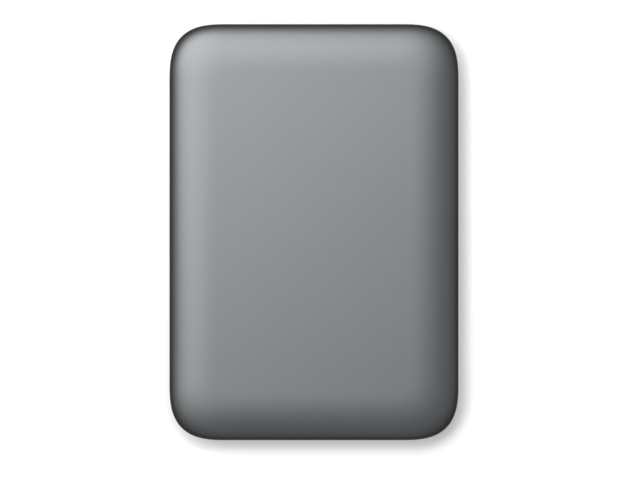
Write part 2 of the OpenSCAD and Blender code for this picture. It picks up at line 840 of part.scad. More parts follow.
module cover_screws() {
    color(c_steel)
        in_drive()
            for (s = [-1, 1])
                for (y = cover_screw_y)
                    translate([s * cover_screw_x, y, 0])
                        difference() {
                            union() {
                                translate([0, 0, 4])
                                    cylinder(r = 0.85, h = cover_z + cover_t - 3.9, $fn = 24);
                                translate([0, 0, cover_z + cover_t])
                                    cylinder(r = cover_screw_head_r, h = 0.35, $fn = 32);
                            }
                            translate([0, 0, cover_z + cover_t + 0.1])
                                cylinder(r = 0.8, h = eps, $fn = 6);
                        }
}

module spindle_sleeve() {
    color(c_gold)
        at_spindle()
            difference() {
                translate([0, 0, 0.3])
                    cylinder(r = 3, h = 3);
                translate([0, 0, 0.7])
                    cylinder(r = spindle_shaft_r + run, h = 3);
            }
}

module stator_core() {
    pitch = 360 / stator_teeth;
    color(c_steel)
        at_spindle()
            translate([0, 0, 1.9])
                union() {
                    difference() {
                        cylinder(r = 5.05, h = 0.6);
                        translate([0, 0, -eps])
                            cylinder(r = 4.3, h = 3 * eps);
                    }
                    for (i = [0:stator_teeth - 1])
                        rotate([0, 0, i * pitch]) {
                            translate([4.7, -0.5, 0])
                                cube([2.5, 1, 0.6]);
                            linear_extrude(height = 0.6)
                                polygon(sector_points(6.95, 7.4, -pitch * 0.34, pitch * 0.34, 6));
                        }
                }
}

module stator_coils() {
    color(c_copper)
        at_spindle()
            for (i = [0:stator_teeth - 1])
                rotate([0, 0, i * 360 / stator_teeth])
                    difference() {
                        box(5.2, 6.85, -1.05, 1.05, 1.3, 3.1);
                        box(4, 8, -0.55, 0.55, 1.85, 2.55);
                    }
}

module spindle_hub() {
    color(c_alu)
        at_spindle()
            rotate_extrude($fn = 128)
                polygon([[spindle_shaft_r + fit, 3.5], [8.65, 3.5], [8.65, 1.3], [10.6, 1.3], [12, 1.65],
                    [12, platter_1_z], [hub_r, platter_1_z], [hub_r, stack_top_z - 0.07],
                    [spindle_shaft_r + fit, stack_top_z - 0.07]]);
}

module spindle_shaft() {
    color(c_steel)
        at_spindle()
            difference() {
                translate([0, 0, 0.8])
                    cylinder(r = spindle_shaft_r, h = stack_top_z - 0.12 - 0.8);
                translate([0, 0, 3.95])
                    cylinder(r = 0.75, h = 3, $fn = 32);
            }
}

module rotor_magnet() {
    color(c_black)
        at_spindle()
            translate([0, 0, 1.45])
                difference() {
                    cylinder(r = 8.6, h = 2);
                    translate([0, 0, -eps])
                        cylinder(r = 7.75, h = 4);
                }
}

module disk(z) {
    at_spindle()
        translate([0, 0, z])
            difference() {
                cylinder(r = platter_r, h = platter_t, $fn = 128);
                translate([0, 0, -eps])
                    cylinder(r = hub_r + fit, h = 3 * eps, $fn = 128);
            }
}

module platter_lower() {
    color(c_disk)
        disk(platter_1_z);
}

module platter_spacer() {
    color(c_alu)
        at_spindle()
            translate([0, 0, platter_1_z + platter_t])
                difference() {
                    cylinder(r = 12, h = platter_pitch - platter_t, $fn = 128);
                    translate([0, 0, -eps])
                        cylinder(r = hub_r + fit, h = 4, $fn = 128);
                }
}

module platter_upper() {
    color(c_disk)
        disk(platter_2_z);
}

module disk_clamp() {
    z = stack_top_z;
    color(c_steel)
        at_spindle()
            difference() {
                rotate_extrude($fn = 128)
                    polygon([[0.8, z - 0.05], [hub_r - 0.1, z - 0.05], [hub_r, z], [hub_r + 2.45, z],
                        [hub_r + 2.45, z + 0.25], [hub_r + 0.65, z + 0.5], [0.8, z + 0.5]]);
                for (i = [0:5])
                    rotate([0, 0, i * 60])
                        translate([6.6, 0, z - eps])
                            cylinder(r = 0.55, h = 3 * eps, $fn = 24);
            }
}

module clamp_screw() {
    z = stack_top_z + 0.5;
    color(c_steel)
        at_spindle()
            difference() {
                union() {
                    translate([0, 0, 4.05])
                        cylinder(r = 0.7, h = z - 3.95, $fn = 32);
                    translate([0, 0, z])
                        cylinder(r = 2.2, h = 0.5);
                }
                translate([0, 0, z + 0.2])
                    cylinder(r = 1, h = eps, $fn = 6);
            }
}

module pivot_shaft() {
    color(c_steel)
        at_pivot()
            difference() {
                translate([0, 0, 0.4])
                    cylinder(r = pivot_shaft_r, h = 5.85);
                translate([0, 0, 4.2])
                    cylinder(r = 0.8, h = 3, $fn = 32);
            }
}

module pivot_bearing() {
    color(c_steel)
        at_pivot()
            difference() {
                translate([0, 0, block_z0 - 0.05])
                    cylinder(r = pivot_bearing_r, h = block_z1 - block_z0 + 0.1);
                cylinder(r = pivot_shaft_r + run, h = 10);
            }
}

module arm_plan() {
    tip = head_reach - 9;
    difference() {
        polygon([[3, -4.8], [6, -4.3], [tip - 1.6, -2], [tip, -1.3], [tip, 1.3], [tip - 1.6, 2], [6, 4.3],
            [3, 4.8]]);
        polygon([[9.5, -1.7], [tip - 6, -0.9], [tip - 6, 0.9], [9.5, 1.7]]);
    }
}

module arm_block() {
    color(c_alu)
        on_arm()
            difference() {
                union() {
                    translate([0, 0, block_z0])
                        cylinder(r = block_r, h = block_z1 - block_z0);
                    translate([0, 0, arm_1_z])
                        linear_extrude(height = arm_t)
                            arm_plan();
                    translate([0, 0, arm_2_z])
                        linear_extrude(height = arm_2_t)
                            arm_plan();
                    translate([0, 0, arm_3_z])
                        linear_extrude(height = arm_t)
                            arm_plan();
                }
                cylinder(r = pivot_bearing_r + fit, h = 10);
            }
}

module head_suspensions() {
    color(c_steel)
        on_arm()
            for (z = [plate_1_z, plate_2_z, plate_3_z, plate_4_z])
                translate([0, 0, z])
                    linear_extrude(height = plate_t)
                        polygon([for (p = [[-13.5, -1.5], [-9.5, -1.3], [0.2, -0.45], [0.6, -0.2], [1.7, -0.2],
                                [1.7, 0.2], [0.6, 0.2], [0.2, 0.45], [-9.5, 1.3], [-13.5, 1.5]])
                            [head_reach + p[0], p[1]]]);
}

module head_sliders() {
    color(c_black)
        on_arm() {
            chip(head_reach, 0, plate_1_z + plate_t, 1, 0.8, slider_h);
            chip(head_reach, 0, plate_2_z - slider_h, 1, 0.8, slider_h);
            chip(head_reach, 0, plate_3_z + plate_t, 1, 0.8, slider_h);
            chip(head_reach, 0, plate_4_z - slider_h, 1, 0.8, slider_h);
        }
}

module coil_plan(grow) {
    polygon(sector_points(coil_r0 - grow, coil_r1 + grow, 180 - coil_half - grow * 5,
        180 + coil_half + grow * 5, 8));
}

module voice_coil() {
    color(c_copper)
        on_arm()
            translate([0, 0, coil_z])
                linear_extrude(height = coil_t)
                    difference() {
                        coil_plan(0);
                        polygon(sector_points(coil_r0 + 2.4, coil_r1 - 2.4, 180 - 8, 180 + 8, 4));
                    }
}

// moulded fork that carries the coil behind the arm block
module coil_frame() {
    color(c_black)
        on_arm()
            difference() {
                translate([0, 0, frame_z])
                    linear_extrude(height = frame_t)
                        difference() {
                            polygon(sector_points(5.2, fork_r, 180 - fork_half, 180 + fork_half, 10));
                            coil_plan(fit);
                        }
                cylinder(r = block_r + fit, h = 10);
            }
}

module yoke(z, t) {
    at_pivot()
        translate([0, 0, z])
            linear_extrude(height = t)
                polygon(sector_points(yoke_r0, yoke_r1, yoke_a0, yoke_a1, 20));
}

module magnet(z) {
    at_pivot()
        translate([0, 0, z])
            linear_extrude(height = magnet_t)
                polygon(sector_points(magnet_r0, magnet_r1, magnet_a0, magnet_a1, 16));
}

module lower_yoke() {
    color(c_steel)
        yoke(lower_yoke_z, yoke_t);
}

module lower_magnet() {
    color(c_disk)
        magnet(lower_magnet_z);
}

module upper_magnet() {
    color(c_disk)
        magnet(upper_magnet_z);
}

module upper_yoke() {
    color(c_steel)
        yoke(upper_yoke_z, upper_yoke_t);
}

module yoke_standoffs() {
    color(c_steel)
        at_pivot()
            for (a = [yoke_a0 + 5, yoke_a1 - 5])
                rotate([0, 0, a])
                    translate([fork_r - 1, 0, lower_magnet_z])
                        cylinder(r = 1, h = upper_yoke_z - lower_magnet_z, $fn = 32);
}

// rubber posts that end the swing, just outside the fork at each limit
module crash_stops() {
    reach = asin(0.85 / 12);
    color(c_rubber)
        at_pivot()
            for (a = [fork_park + fork_half + reach, fork_inner - fork_half - reach])
                rotate([0, 0, a])
                    translate([12, 0, lower_magnet_z])
                        cylinder(r = 0.6, h = upper_yoke_z - lower_magnet_z, $fn = 32);
}

// the comb that the suspension tips rest on when the heads are off the disks
module load_ramp() {
    r0 = head_reach + 0.85;
    r1 = head_reach + 1.95;
    color(c_clear)
        at_pivot()
            intersection() {
                union() {
                    translate([0, 0, disk_floor_z])
                        linear_extrude(height = 4.8)
                            polygon(sector_points(r1, r1 + 0.95, park_dir - 2.5, park_dir + 5, 8));
                    for (z = [plate_1_z + plate_t + 0.05, platter_1_z + platter_t + 0.1,
                            plate_3_z + plate_t + 0.05, stack_top_z + 0.1])
                        translate([0, 0, z])
                            linear_extrude(height = 0.2)
                                polygon(sector_points(r0, r1 + 0.05, park_dir - 6, park_dir + 5, 8));
                }
                box(0, disk_pocket_r - 0.4 - pivot_x, -head_reach - 5, 0, 0, 8);
            }
}

module recirculation_filter() {
    color(c_clear)
        in_drive()
            translate([7.1 - disk_pocket_r, pivot_y - 14.9, disk_floor_z])
                rotate([0, 0, 45])
                    box(-0.8, 0.8, -3.2, 3.2, 0, 4.6);
}

module flex_bracket() {
    color(c_black)
        at_pivot()
            union() {
                box(-21.9, -19.7, -1, 4, coil_floor_z, 5);
                box(-25, -21.7, 0, 3, coil_floor_z, 3.4);
            }
}

// the ribbon from the arm block to the bracket, on a smooth curve
function bez(p, t) = pow(1 - t, 3) * p[0] + 3 * t * pow(1 - t, 2) * p[1] + 3 * t * t * (1 - t) * p[2]
    + pow(t, 3) * p[3];
function bez_side(p, t) =
    let (d = 3 * pow(1 - t, 2) * (p[1] - p[0]) + 6 * t * (1 - t) * (p[2] - p[1])
        + 3 * t * t * (p[3] - p[2]))
    [-d[1], d[0]] / norm(d);

module flex_cable() {
    p = [[-5.9, -2.8], [-11.5, -5.5], [-17.5, -5.1], [-19.6, 1.6]];
    n = 14;
    color(c_gold)
        at_pivot()
            translate([0, 0, coil_floor_z + 0.4])
                linear_extrude(height = 2)
                    polygon(concat([for (i = [0:n]) bez(p, i / n) + 0.06 * bez_side(p, i / n)],
                        [for (i = [n:-1:0]) bez(p, i / n) - 0.06 * bez_side(p, i / n)]));
}

module latch_lever() {
    color(c_black)
        in_drive()
            translate([latch_x, latch_y, 2.9])
                difference() {
                    union() {
                        cylinder(r = 1.8, h = 1.3, $fn = 32);
                        translate([0, -0.6, 0])
                            cube([8.6, 1.2, 1.3]);
                        translate([-3.4, -1.2, 0])
                            cube([3, 2.4, 1.3]);
                    }
                    translate([0, 0, -eps])
                        cylinder(r = 0.8 + run, h = 4, $fn = 32);
                }
}

module drive_board() {
    color(c_board)
        in_drive()
            difference() {
                translate([0, 0, board_z])
                    linear_extrude(height = drive_board_t)
                        board_plan(0);
                for (p = board_posts)
                    translate([p[0], p[1], 0])
                        cylinder(r = 0.65, h = 3, $fn = 24);
            }
}

module controller_chip() {
    color(c_chip)
        in_drive()
            chip(11.5 - board_x, board_y0 + 8.2, board_top_z, 9, 9, 0.6);
}

module motor_driver_chip() {
    color(c_chip)
        in_drive()
            chip(-8.4, board_y0 + 5.9, board_top_z, 6, 6, 0.6);
}

module cache_chip() {
    color(c_chip)
        in_drive()
            chip(board_x - 19, board_y1 + 4, board_top_z, 10, 5.4, 0.6);
}

module board_screws() {
    color(c_steel)
        in_drive()
            for (p = board_posts)
                translate([p[0], p[1], 0])
                    difference() {
                        union() {
                            translate([0, 0, 0.05])
                                cylinder(r = 1.3, h = board_z - 0.05, $fn = 32);
                            translate([0, 0, 0.2])
                                cylinder(r = 0.6, h = 1.7, $fn = 24);
                        }
                        translate([0, 0, -0.1])
                            cylinder(r = 0.5, h = 0.25, $fn = 6);
                    }
}

// the drive's plug: a housing with a wide power tongue and a short signal tongue
module sata_plug() {
    y0 = drive_l - sata_depth;
    color(c_black)
        in_drive()
            union() {
                box(sata_x0, sata_x0 + sata_w, y0 + 0.2, y0 + 0.2 + plug_body_l, board_top_z, 4.15);
                box(power_x0, power_x1, y0 + plug_body_l, y0 + plug_body_l + 0.1 + tongue_l, 2.45, 3.45);
                box(signal_x0, signal_x1, y0 + plug_body_l, y0 + plug_body_l + 0.1 + tongue_l, 2.45, 3.45);
            }
}

module sata_plug_contacts() {
    y = drive_l - sata_depth + plug_body_l + 1.3;
    color(c_gold)
        in_drive()
            union() {
                for (i = [0:14])
                    chip(power_pin_x + i * sata_pitch, y, 2.39, 0.6, 2, 0.06);
                for (i = [0:6])
                    chip(signal_pin_x + i * sata_pitch, y, 2.39, 0.6, 2, 0.06);
            }
}

top_cover();
bottom_cover();
feet();
bumper_front_left();
bumper_front_right();
bumper_back_left();
bumper_back_right();
top_pads();
light_pipe();
bridge_board();
bridge_chip();
flash_chip();
clock_crystal();
status_led();
usb_shell();
usb_tongue();
usb_contacts();
sata_socket();
sata_socket_contacts();
drive_base();
drive_cover();
cover_gasket();
cover_screws();
spindle_sleeve();
stator_core();
stator_coils();
pivot_shaft();
lower_yoke();
lower_magnet();
upper_magnet();
upper_yoke();
yoke_standoffs();
load_ramp();
crash_stops();
recirculation_filter();
flex_bracket();
flex_cable();
drive_board();
controller_chip();
motor_driver_chip();
cache_chip();
board_screws();
sata_plug();
sata_plug_contacts();
spindle_hub();
spindle_shaft();
rotor_magnet();
platter_lower();
platter_spacer();
platter_upper();
disk_clamp();
clamp_screw();
pivot_bearing();
arm_block();
voice_coil();
coil_frame();
head_suspensions();
head_sliders();
latch_lever();
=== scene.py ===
"""A portable hard drive in a pillowed grey case, dressed for pictures on white paper."""

import json

import bmesh
import bpy
import numpy as np
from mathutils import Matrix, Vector


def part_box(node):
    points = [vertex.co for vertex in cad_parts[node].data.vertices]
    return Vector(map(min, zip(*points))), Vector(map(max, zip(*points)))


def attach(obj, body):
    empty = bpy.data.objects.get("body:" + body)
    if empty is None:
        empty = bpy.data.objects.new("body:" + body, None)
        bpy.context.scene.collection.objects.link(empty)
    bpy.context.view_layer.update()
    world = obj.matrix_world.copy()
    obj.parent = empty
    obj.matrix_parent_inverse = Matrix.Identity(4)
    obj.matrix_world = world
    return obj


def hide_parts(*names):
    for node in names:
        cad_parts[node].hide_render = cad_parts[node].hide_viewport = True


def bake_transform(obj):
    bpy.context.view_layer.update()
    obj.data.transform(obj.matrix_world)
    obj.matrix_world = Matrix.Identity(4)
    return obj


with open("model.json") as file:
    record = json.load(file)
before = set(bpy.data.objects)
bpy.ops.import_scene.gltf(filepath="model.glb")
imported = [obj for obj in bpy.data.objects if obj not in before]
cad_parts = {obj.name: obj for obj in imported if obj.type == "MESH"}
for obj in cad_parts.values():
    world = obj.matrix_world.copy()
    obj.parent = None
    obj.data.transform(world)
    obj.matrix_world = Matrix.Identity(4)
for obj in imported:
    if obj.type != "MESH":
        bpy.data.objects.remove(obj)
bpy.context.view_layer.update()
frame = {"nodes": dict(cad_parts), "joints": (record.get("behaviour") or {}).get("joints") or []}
cad_node = frame["nodes"]
mm = 0.001


# The stand
# White paper under the drive, one wide softbox over its upper left corner, a faint sky that
# is paler round the horizon and plain white to the camera, and a weak softbox below for views
# from underneath. None of it belongs to the drive. The paper is lifted to white for camera,
# gloss and glass alone, and less so in a narrow band round the drive's outline, which is a
# painted shadow laid over the drive's real shadow.

case_low, case_high = (np.array(corner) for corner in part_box("top_cover"))
case_width, case_length = (case_high - case_low)[:2]
half_case = np.array([case_width, case_length]) / 2

# the photo's frame, and the drive's width and middle in it, in pixels
photo_columns, photo_rows = 640, 480
drive_columns = 289.04
drive_column, drive_row = 313.98, 232.15
pixel = case_width / drive_columns
widest_height = 9.4 * mm
lens, sensor = 200.0, 36.0
camera_height = widest_height + photo_columns * pixel * lens / sensor

camera = bpy.data.objects.new("camera", bpy.data.cameras.new("camera"))
camera.data.lens = lens
camera.data.sensor_width = sensor
camera.data.clip_start = 0.05
camera.data.clip_end = 20
camera.location = (
    (photo_columns / 2 - drive_column) * pixel,
    (drive_row - photo_rows / 2) * pixel,
    camera_height,
)
bpy.context.collection.objects.link(camera)
bpy.context.scene.camera = camera
bpy.context.scene.view_settings.view_transform = "Standard"


def lamp(name, place, aim, size, power):
    """A square softbox of the given size that faces the point aim; the camera doesn't see it."""
    made = bpy.data.objects.new(name, bpy.data.lights.new(name, "AREA"))
    made.data.shape = "SQUARE"
    made.data.size = size
    made.data.energy = power
    made.location = place
    towards = made.location - Vector(aim)
    made.rotation_euler = towards.to_track_quat("Z", "Y").to_euler()
    made.visible_camera = False
    bpy.context.collection.objects.link(made)


lamp("softbox", (-0.178, 0.209, 0.390), (0, 0, 0.01), 0.58, 3.26)
lamp("under_softbox", (0.10, -0.12, -0.55), (0, 0, 0), 0.60, 2.4)


def node(group, kind, wires=(), **settings):
    """Adds a node, sets its properties, and wires or sets its inputs by name or number."""
    made = group.nodes.new("ShaderNode" + kind)
    for label, value in settings.items():
        setattr(made, label, value)
    for socket, value in dict(wires).items():
        if isinstance(value, bpy.types.NodeSocket):
            group.links.new(value, made.inputs[socket])
        else:
            made.inputs[socket].default_value = value
    return made


overhead, horizon, seen_sky = 0.12, 0.55, 1.1
haze_low, haze_high = 0.02, 0.25
sky = bpy.data.worlds.new("sky")
sky.use_nodes = True
backdrop = sky.node_tree.nodes["Background"]
backdrop.inputs["Color"].default_value = (0.93, 0.96, 1.0, 1)
ahead = node(sky.node_tree, "TexCoord")
climb = node(sky.node_tree, "SeparateXYZ", {0: ahead.outputs["Generated"]})
fade = node(
    sky.node_tree,
    "MapRange",
    {
        "Value": climb.outputs["Z"],
        "From Min": haze_low,
        "From Max": haze_high,
        "To Min": horizon,
        "To Max": overhead,
    },
    interpolation_type="SMOOTHSTEP",
)
looking = node(sky.node_tree, "LightPath").outputs["Is Camera Ray"]
plain = node(sky.node_tree, "Math", {0: looking, 1: seen_sky}, operation="MULTIPLY")
brightness = node(
    sky.node_tree, "Math", {0: fade.outputs[0], 1: plain.outputs[0]}, operation="MAXIMUM"
)
sky.node_tree.links.new(brightness.outputs[0], backdrop.inputs["Strength"])
bpy.context.scene.world = sky


def new_mesh(name, points, faces, smooth_below=None):
    """An object at the origin from vertex and face arrays. smooth_below is the angle in
    degrees up to which two faces shade as one surface."""
    mesh = bpy.data.meshes.new(name)
    mesh.from_pydata(np.asarray(points).reshape(-1, 3).tolist(), [], [tuple(f) for f in faces])
    mesh.validate()
    if smooth_below is not None:
        mesh.shade_smooth()
        mesh.set_sharp_from_angle(angle=np.radians(smooth_below))
    made = bpy.data.objects.new(name, mesh)
    bpy.context.collection.objects.link(made)
    return made


paper_reach = 4.0
paper = new_mesh(
    "paper",
    paper_reach * np.array([(-1, -1, 0), (1, -1, 0), (1, 1, 0), (-1, 1, 0)]),
    [(0, 1, 2, 3)],
)
paper.visible_shadow = False

# the lift grows in two steps with the distance from a box as round as the drive's outline; the low first step
# is a painted shadow band round the drive, laid over its real shadow
corner_round = 11.8 * mm
painted_shadow_start, painted_shadow_end = corner_round + 0.8 * mm, corner_round + 5.2 * mm
dim_start, dim_end = 60 * mm, 550 * mm
painted_shadow_lift, near_lift, far_lift = 0.40, 0.70, 0.95
paper_grey = (0.70, 0.70, 0.70, 1)
paper_white = bpy.data.materials.new("paper_white")
paper_white.use_nodes = True
tree = paper_white.node_tree
tree.nodes.clear()
on_paper = node(tree, "TexCoord")
either_side = node(tree, "VectorMath", {0: on_paper.outputs["Object"]}, operation="ABSOLUTE")
past_corner = node(
    tree,
    "VectorMath",
    {0: either_side.outputs[0], 1: (*(half_case - corner_round), 0)},
    operation="SUBTRACT",
)
outside = node(tree, "VectorMath", {0: past_corner.outputs[0], 1: (0, 0, 0)}, operation="MAXIMUM")
away = node(tree, "VectorMath", {0: outside.outputs[0]}, operation="LENGTH").outputs["Value"]
# the first ramp is the painted shadow band: a low lift next to the drive's outline
out_of_painted_shadow, out_of_light = (
    node(
        tree,
        "MapRange",
        {"Value": away, "From Min": start, "From Max": end, "To Min": low, "To Max": high},
        interpolation_type="SMOOTHSTEP",
    )
    for start, end, low, high in [
        (painted_shadow_start, painted_shadow_end, painted_shadow_lift, near_lift),
        (dim_start, dim_end, 0, far_lift - near_lift),
    ]
)
lift = node(tree, "Math", {0: out_of_painted_shadow.outputs[0], 1: out_of_light.outputs[0]}, operation="ADD")
# only these rays see the lift, so that it lights nothing
rays = node(tree, "LightPath").outputs
seen = node(
    tree, "Math", {0: rays["Is Camera Ray"], 1: rays["Is Glossy Ray"]}, operation="MAXIMUM"
)
seen = node(
    tree, "Math", {0: seen.outputs[0], 1: rays["Is Transmission Ray"]}, operation="MAXIMUM"
)
strength = node(tree, "Math", {0: seen.outputs[0], 1: lift.outputs[0]}, operation="MULTIPLY")
matt = node(tree, "BsdfDiffuse", {"Color": paper_grey})
glow = node(tree, "Emission", {"Strength": strength.outputs[0]})
both = node(tree, "AddShader", {0: matt.outputs[0], 1: glow.outputs[0]})
# from below the paper is clear
side = node(tree, "NewGeometry")
clear = node(tree, "BsdfTransparent")
under = node(
    tree, "MixShader", {"Fac": side.outputs["Backfacing"], 1: both.outputs[0], 2: clear.outputs[0]}
)
node(tree, "OutputMaterial", {"Surface": under.outputs[0]})
paper.data.materials.append(paper_white)


# The lower shell
# A tray moulded in dark grey ABS with a fine spark-eroded skin. Its lip stands inside
# the upper shell's rim, and snap hooks of the upper shell click into windows behind it.

wall = 1.6 * mm
corner_reach = 16.4 * mm
reach_drop = 0.8
corner_power = 2.92
seam = 7.55 * mm
half_seam_gap = 0.075 * mm
lip_height = 1.35 * mm
lip_gap = 0.15 * mm
base_roll = np.array([6.0, 4.5]) * mm
base_skin_roll = np.array([6.6, 4.5]) * mm
base_skin_power = 2.2
base_low = 0.5 * mm
floor_high = base_low + wall


def case_rings(profile, steps=36):
    """Rings round the case, one for each (inset, height) of the profile. A ring is four
    straight sides joined by quarter superellipses |x|^p + |y|^p = reach^p at even polar
    angles, and a corner's reach drops by 0.8 of the inset."""
    inset, height = np.asarray(profile).T
    turn = np.linspace(0, np.pi / 2, steps + 1)
    grow = (np.cos(turn) ** corner_power + np.sin(turn) ** corner_power) ** (-1 / corner_power)
    arc = np.stack([grow * np.cos(turn), grow * np.sin(turn)], axis=-1)
    reach = (corner_reach - reach_drop * inset)[:, None, None]
    centre = half_case - inset[:, None, None] - reach
    quarters = [
        sign * (centre + reach * run)
        for sign, run in (
            (np.array([1, 1]), arc),
            (np.array([-1, 1]), arc[::-1]),
            (np.array([-1, -1]), arc),
            (np.array([1, -1]), arc[::-1]),
        )
    ]
    plan = np.concatenate(quarters, axis=1)
    level = np.broadcast_to(height[:, None, None], plan.shape[:2] + (1,))
    return np.concatenate([plan, level], axis=2)


def tube_faces(rows, columns, capped=True):
    """Faces of a grid of points whose columns close on themselves, rows running so that
    the faces look outwards, with the first and last row filled in as caps."""
    row, column = np.meshgrid(np.arange(rows - 1), np.arange(columns), indexing="ij")
    here = row * columns + column
    beside = row * columns + (column + 1) % columns
    faces = np.stack([here, beside, beside + columns, here + columns], -1).reshape(-1, 4).tolist()
    if capped:
        faces.append(list(range(columns))[::-1])
        faces.append(list(range((rows - 1) * columns, rows * columns)))
    return faces


def eased(profile, radius, steps=4):
    """The open profile with each corner replaced by a short quadratic curve that starts
    and ends at most radius away from it, and within 0.45 of each leg."""
    profile = np.asarray(profile, float)
    most = 0.45
    before, corner, after = profile[:-2], profile[1:-1], profile[2:]
    reach_in = np.linalg.norm(before - corner, axis=1, keepdims=True)
    reach_out = np.linalg.norm(after - corner, axis=1, keepdims=True)
    start = corner + (before - corner) * np.minimum(radius / reach_in, most)
    end = corner + (after - corner) * np.minimum(radius / reach_out, most)
    t = np.linspace(0, 1, steps + 1)[None, :, None]
    curve = (1 - t) ** 2 * start[:, None] + 2 * t * (1 - t) * corner[:, None] + t ** 2 * end[:, None]
    return np.concatenate([profile[:1], curve.reshape(-1, 2), profile[-1:]])


last_ring = 0.6 * mm


def roll_off(size, start, direction, inner, steps=40, power=2.0):
    """A quarter of |x|^p + |z|^p = 1 from the upright side to the flat face, as (inset,
    height), and one more ring a little way onto that face, so that the face shades flat.
    With p over 2 the curve meets the face with no jump in its bend. The inner skin is the
    quarter ellipse with both half axes shorter by the wall."""
    angle = np.append(np.linspace(0, np.pi / 2, steps + 1), np.pi / 2)
    across, up = size - inner
    run, rise = np.abs(np.cos(angle)) ** (2 / power), np.sin(angle) ** (2 / power)
    curve = np.stack([size[0] - across * run, start + direction * up * rise], -1)
    curve[-1, 0] += last_ring
    return curve


def blocks(low, high):
    """Points and faces of closed upright boxes from their lowest and highest corners."""
    low, high = np.atleast_2d(low), np.atleast_2d(high)
    pick = np.array([(i & 1, i >> 1 & 1, i >> 2) for i in range(8)])
    points = np.where(pick[None], high[:, None], low[:, None])
    sides = np.array(
        [(0, 2, 3, 1), (4, 5, 7, 6), (0, 1, 5, 4), (2, 6, 7, 3), (0, 4, 6, 2), (1, 3, 7, 5)]
    )
    faces = sides[None] + 8 * np.arange(len(low))[:, None, None]
    return points.reshape(-1, 3), faces.reshape(-1, 4).tolist()


def turned(profile, centre, steps=48):
    """Points and faces of a turned solid: the (radius, height) profile, from its lower
    axis point to its upper one, carried round the upright line through centre."""
    radius, height = np.asarray(profile).T
    angle = np.arange(steps) * 2 * np.pi / steps
    points = np.stack(
        [
            centre[0] + radius[:, None] * np.cos(angle),
            centre[1] + radius[:, None] * np.sin(angle),
            np.broadcast_to(height[:, None], (len(radius), steps)),
        ],
        -1,
    )
    return points.reshape(-1, 3), tube_faces(len(radius), steps)


def gathered(*solids):
    """One list of points and one of faces from several closed solids."""
    points, faces, first = [], [], 0
    for some_points, some_faces in solids:
        points.append(np.asarray(some_points).reshape(-1, 3))
        faces += [[first + i for i in face] for face in some_faces]
        first += len(points[-1])
    return np.concatenate(points), faces


def opening(half_width, half_height, x, steps=8):
    """A rounded slot through the case's back wall: a rectangle with quarter-round
    corners drawn upright at the seam and carried through the wall."""
    corner = 0.55 * half_height
    turn = np.linspace(0, np.pi / 2, steps + 1)
    middle = np.array([half_width - corner, half_height - corner])
    rim = np.concatenate(
        [
            np.array([sx, sz]) * middle + corner * np.stack([np.cos(turn + at), np.sin(turn + at)], -1)
            for sx, sz, at in ((1, 1, 0), (-1, 1, np.pi / 2), (-1, -1, np.pi), (1, -1, 1.5 * np.pi))
        ]
    )
    past_wall = np.array([0.3, -0.1]) * mm
    depth = half_case[1] + past_wall - np.array([0, wall])
    rows = [np.stack([x + rim[:, 0], np.full(len(rim), y), seam + rim[:, 1]], -1) for y in depth]
    return np.concatenate(rows), tube_faces(2, len(rim))


port_half = np.array([6.65, 1.85]) * mm
light_half = np.array([1.15, 0.70]) * mm
light_x = 15.2 * mm
port_openings = (opening(*port_half, 0), opening(*light_half, light_x))

snap_drop = 3.0 * mm
snap_width = 5.0 * mm
snap_play = 0.3 * mm
snap_hold = 0.6 * mm
window_height = 1.5 * mm
side_snaps = np.array([-30, 0, 30]) * mm
front_snaps = np.array([-14, 14]) * mm
back_snaps = np.array([-20.5, 20.5]) * mm


def around_case(low, high):
    """Boxes given at the +X wall's middle, as outward distance from the wall's outside,
    along it and up, set at every snap of the four walls."""
    spots = [(y, 0, s) for y in side_snaps for s in (1, -1)]
    spots += [(x, 1, -1) for x in front_snaps] + [(x, 1, 1) for x in back_snaps]
    corners = []
    for along, axis, sign in spots:
        ends = np.empty((2, 3))
        ends[:, axis] = sign * (half_case[axis] + np.array([low[0], high[0]]))
        ends[:, 1 - axis] = along + np.array([low[1], high[1]])
        ends[:, 2] = low[2], high[2]
        corners.append((ends.min(0), ends.max(0)))
    return np.array(corners).transpose(1, 0, 2)


def cut(piece, solids):
    """Takes closed solids away from a piece for good, with an exact difference."""
    cutter = new_mesh("cutter", *gathered(*solids))
    difference = piece.modifiers.new("cut", "BOOLEAN")
    difference.operation = "DIFFERENCE"
    difference.solver = "EXACT"
    difference.object = cutter
    bpy.context.view_layer.update()
    done = bpy.data.meshes.new_from_object(piece.evaluated_get(bpy.context.evaluated_depsgraph_get()))
    piece.modifiers.clear()
    old, piece.data = piece.data, done
    done.name = piece.name
    bpy.data.meshes.remove(old)
    bpy.data.objects.remove(cutter)


def merged(piece, solids, smooth_below=None):
    """Adds closed solids to a piece's mesh; each is rooted a little way into it."""
    extra = new_mesh("extra", *gathered(*solids), smooth_below)
    both_meshes = bmesh.new()
    both_meshes.from_mesh(piece.data)
    both_meshes.from_mesh(extra.data)
    both_meshes.to_mesh(piece.data)
    both_meshes.free()
    bpy.data.objects.remove(extra)


lower_profile = np.concatenate(
    [
        roll_off(base_roll, base_low + base_roll[1], -1, wall)[::-1],
        eased(
            [
                (wall, base_low + base_roll[1] + 0.3 * mm),
                (wall, seam + lip_height),
                (wall / 2 + lip_gap, seam + lip_height),
                (wall / 2 + lip_gap, seam - half_seam_gap),
                (0, seam - half_seam_gap),
                (0, base_low + base_roll[1] + 0.3 * mm),
            ],
            0.12 * mm,
        ),
        roll_off(base_skin_roll, base_low + base_skin_roll[1], -1, 0, power=base_skin_power),
    ]
)
lower_rings = case_rings(lower_profile[::-1])
lower_shell = new_mesh("lower_shell", lower_rings, tube_faces(*lower_rings.shape[:2]), 35)

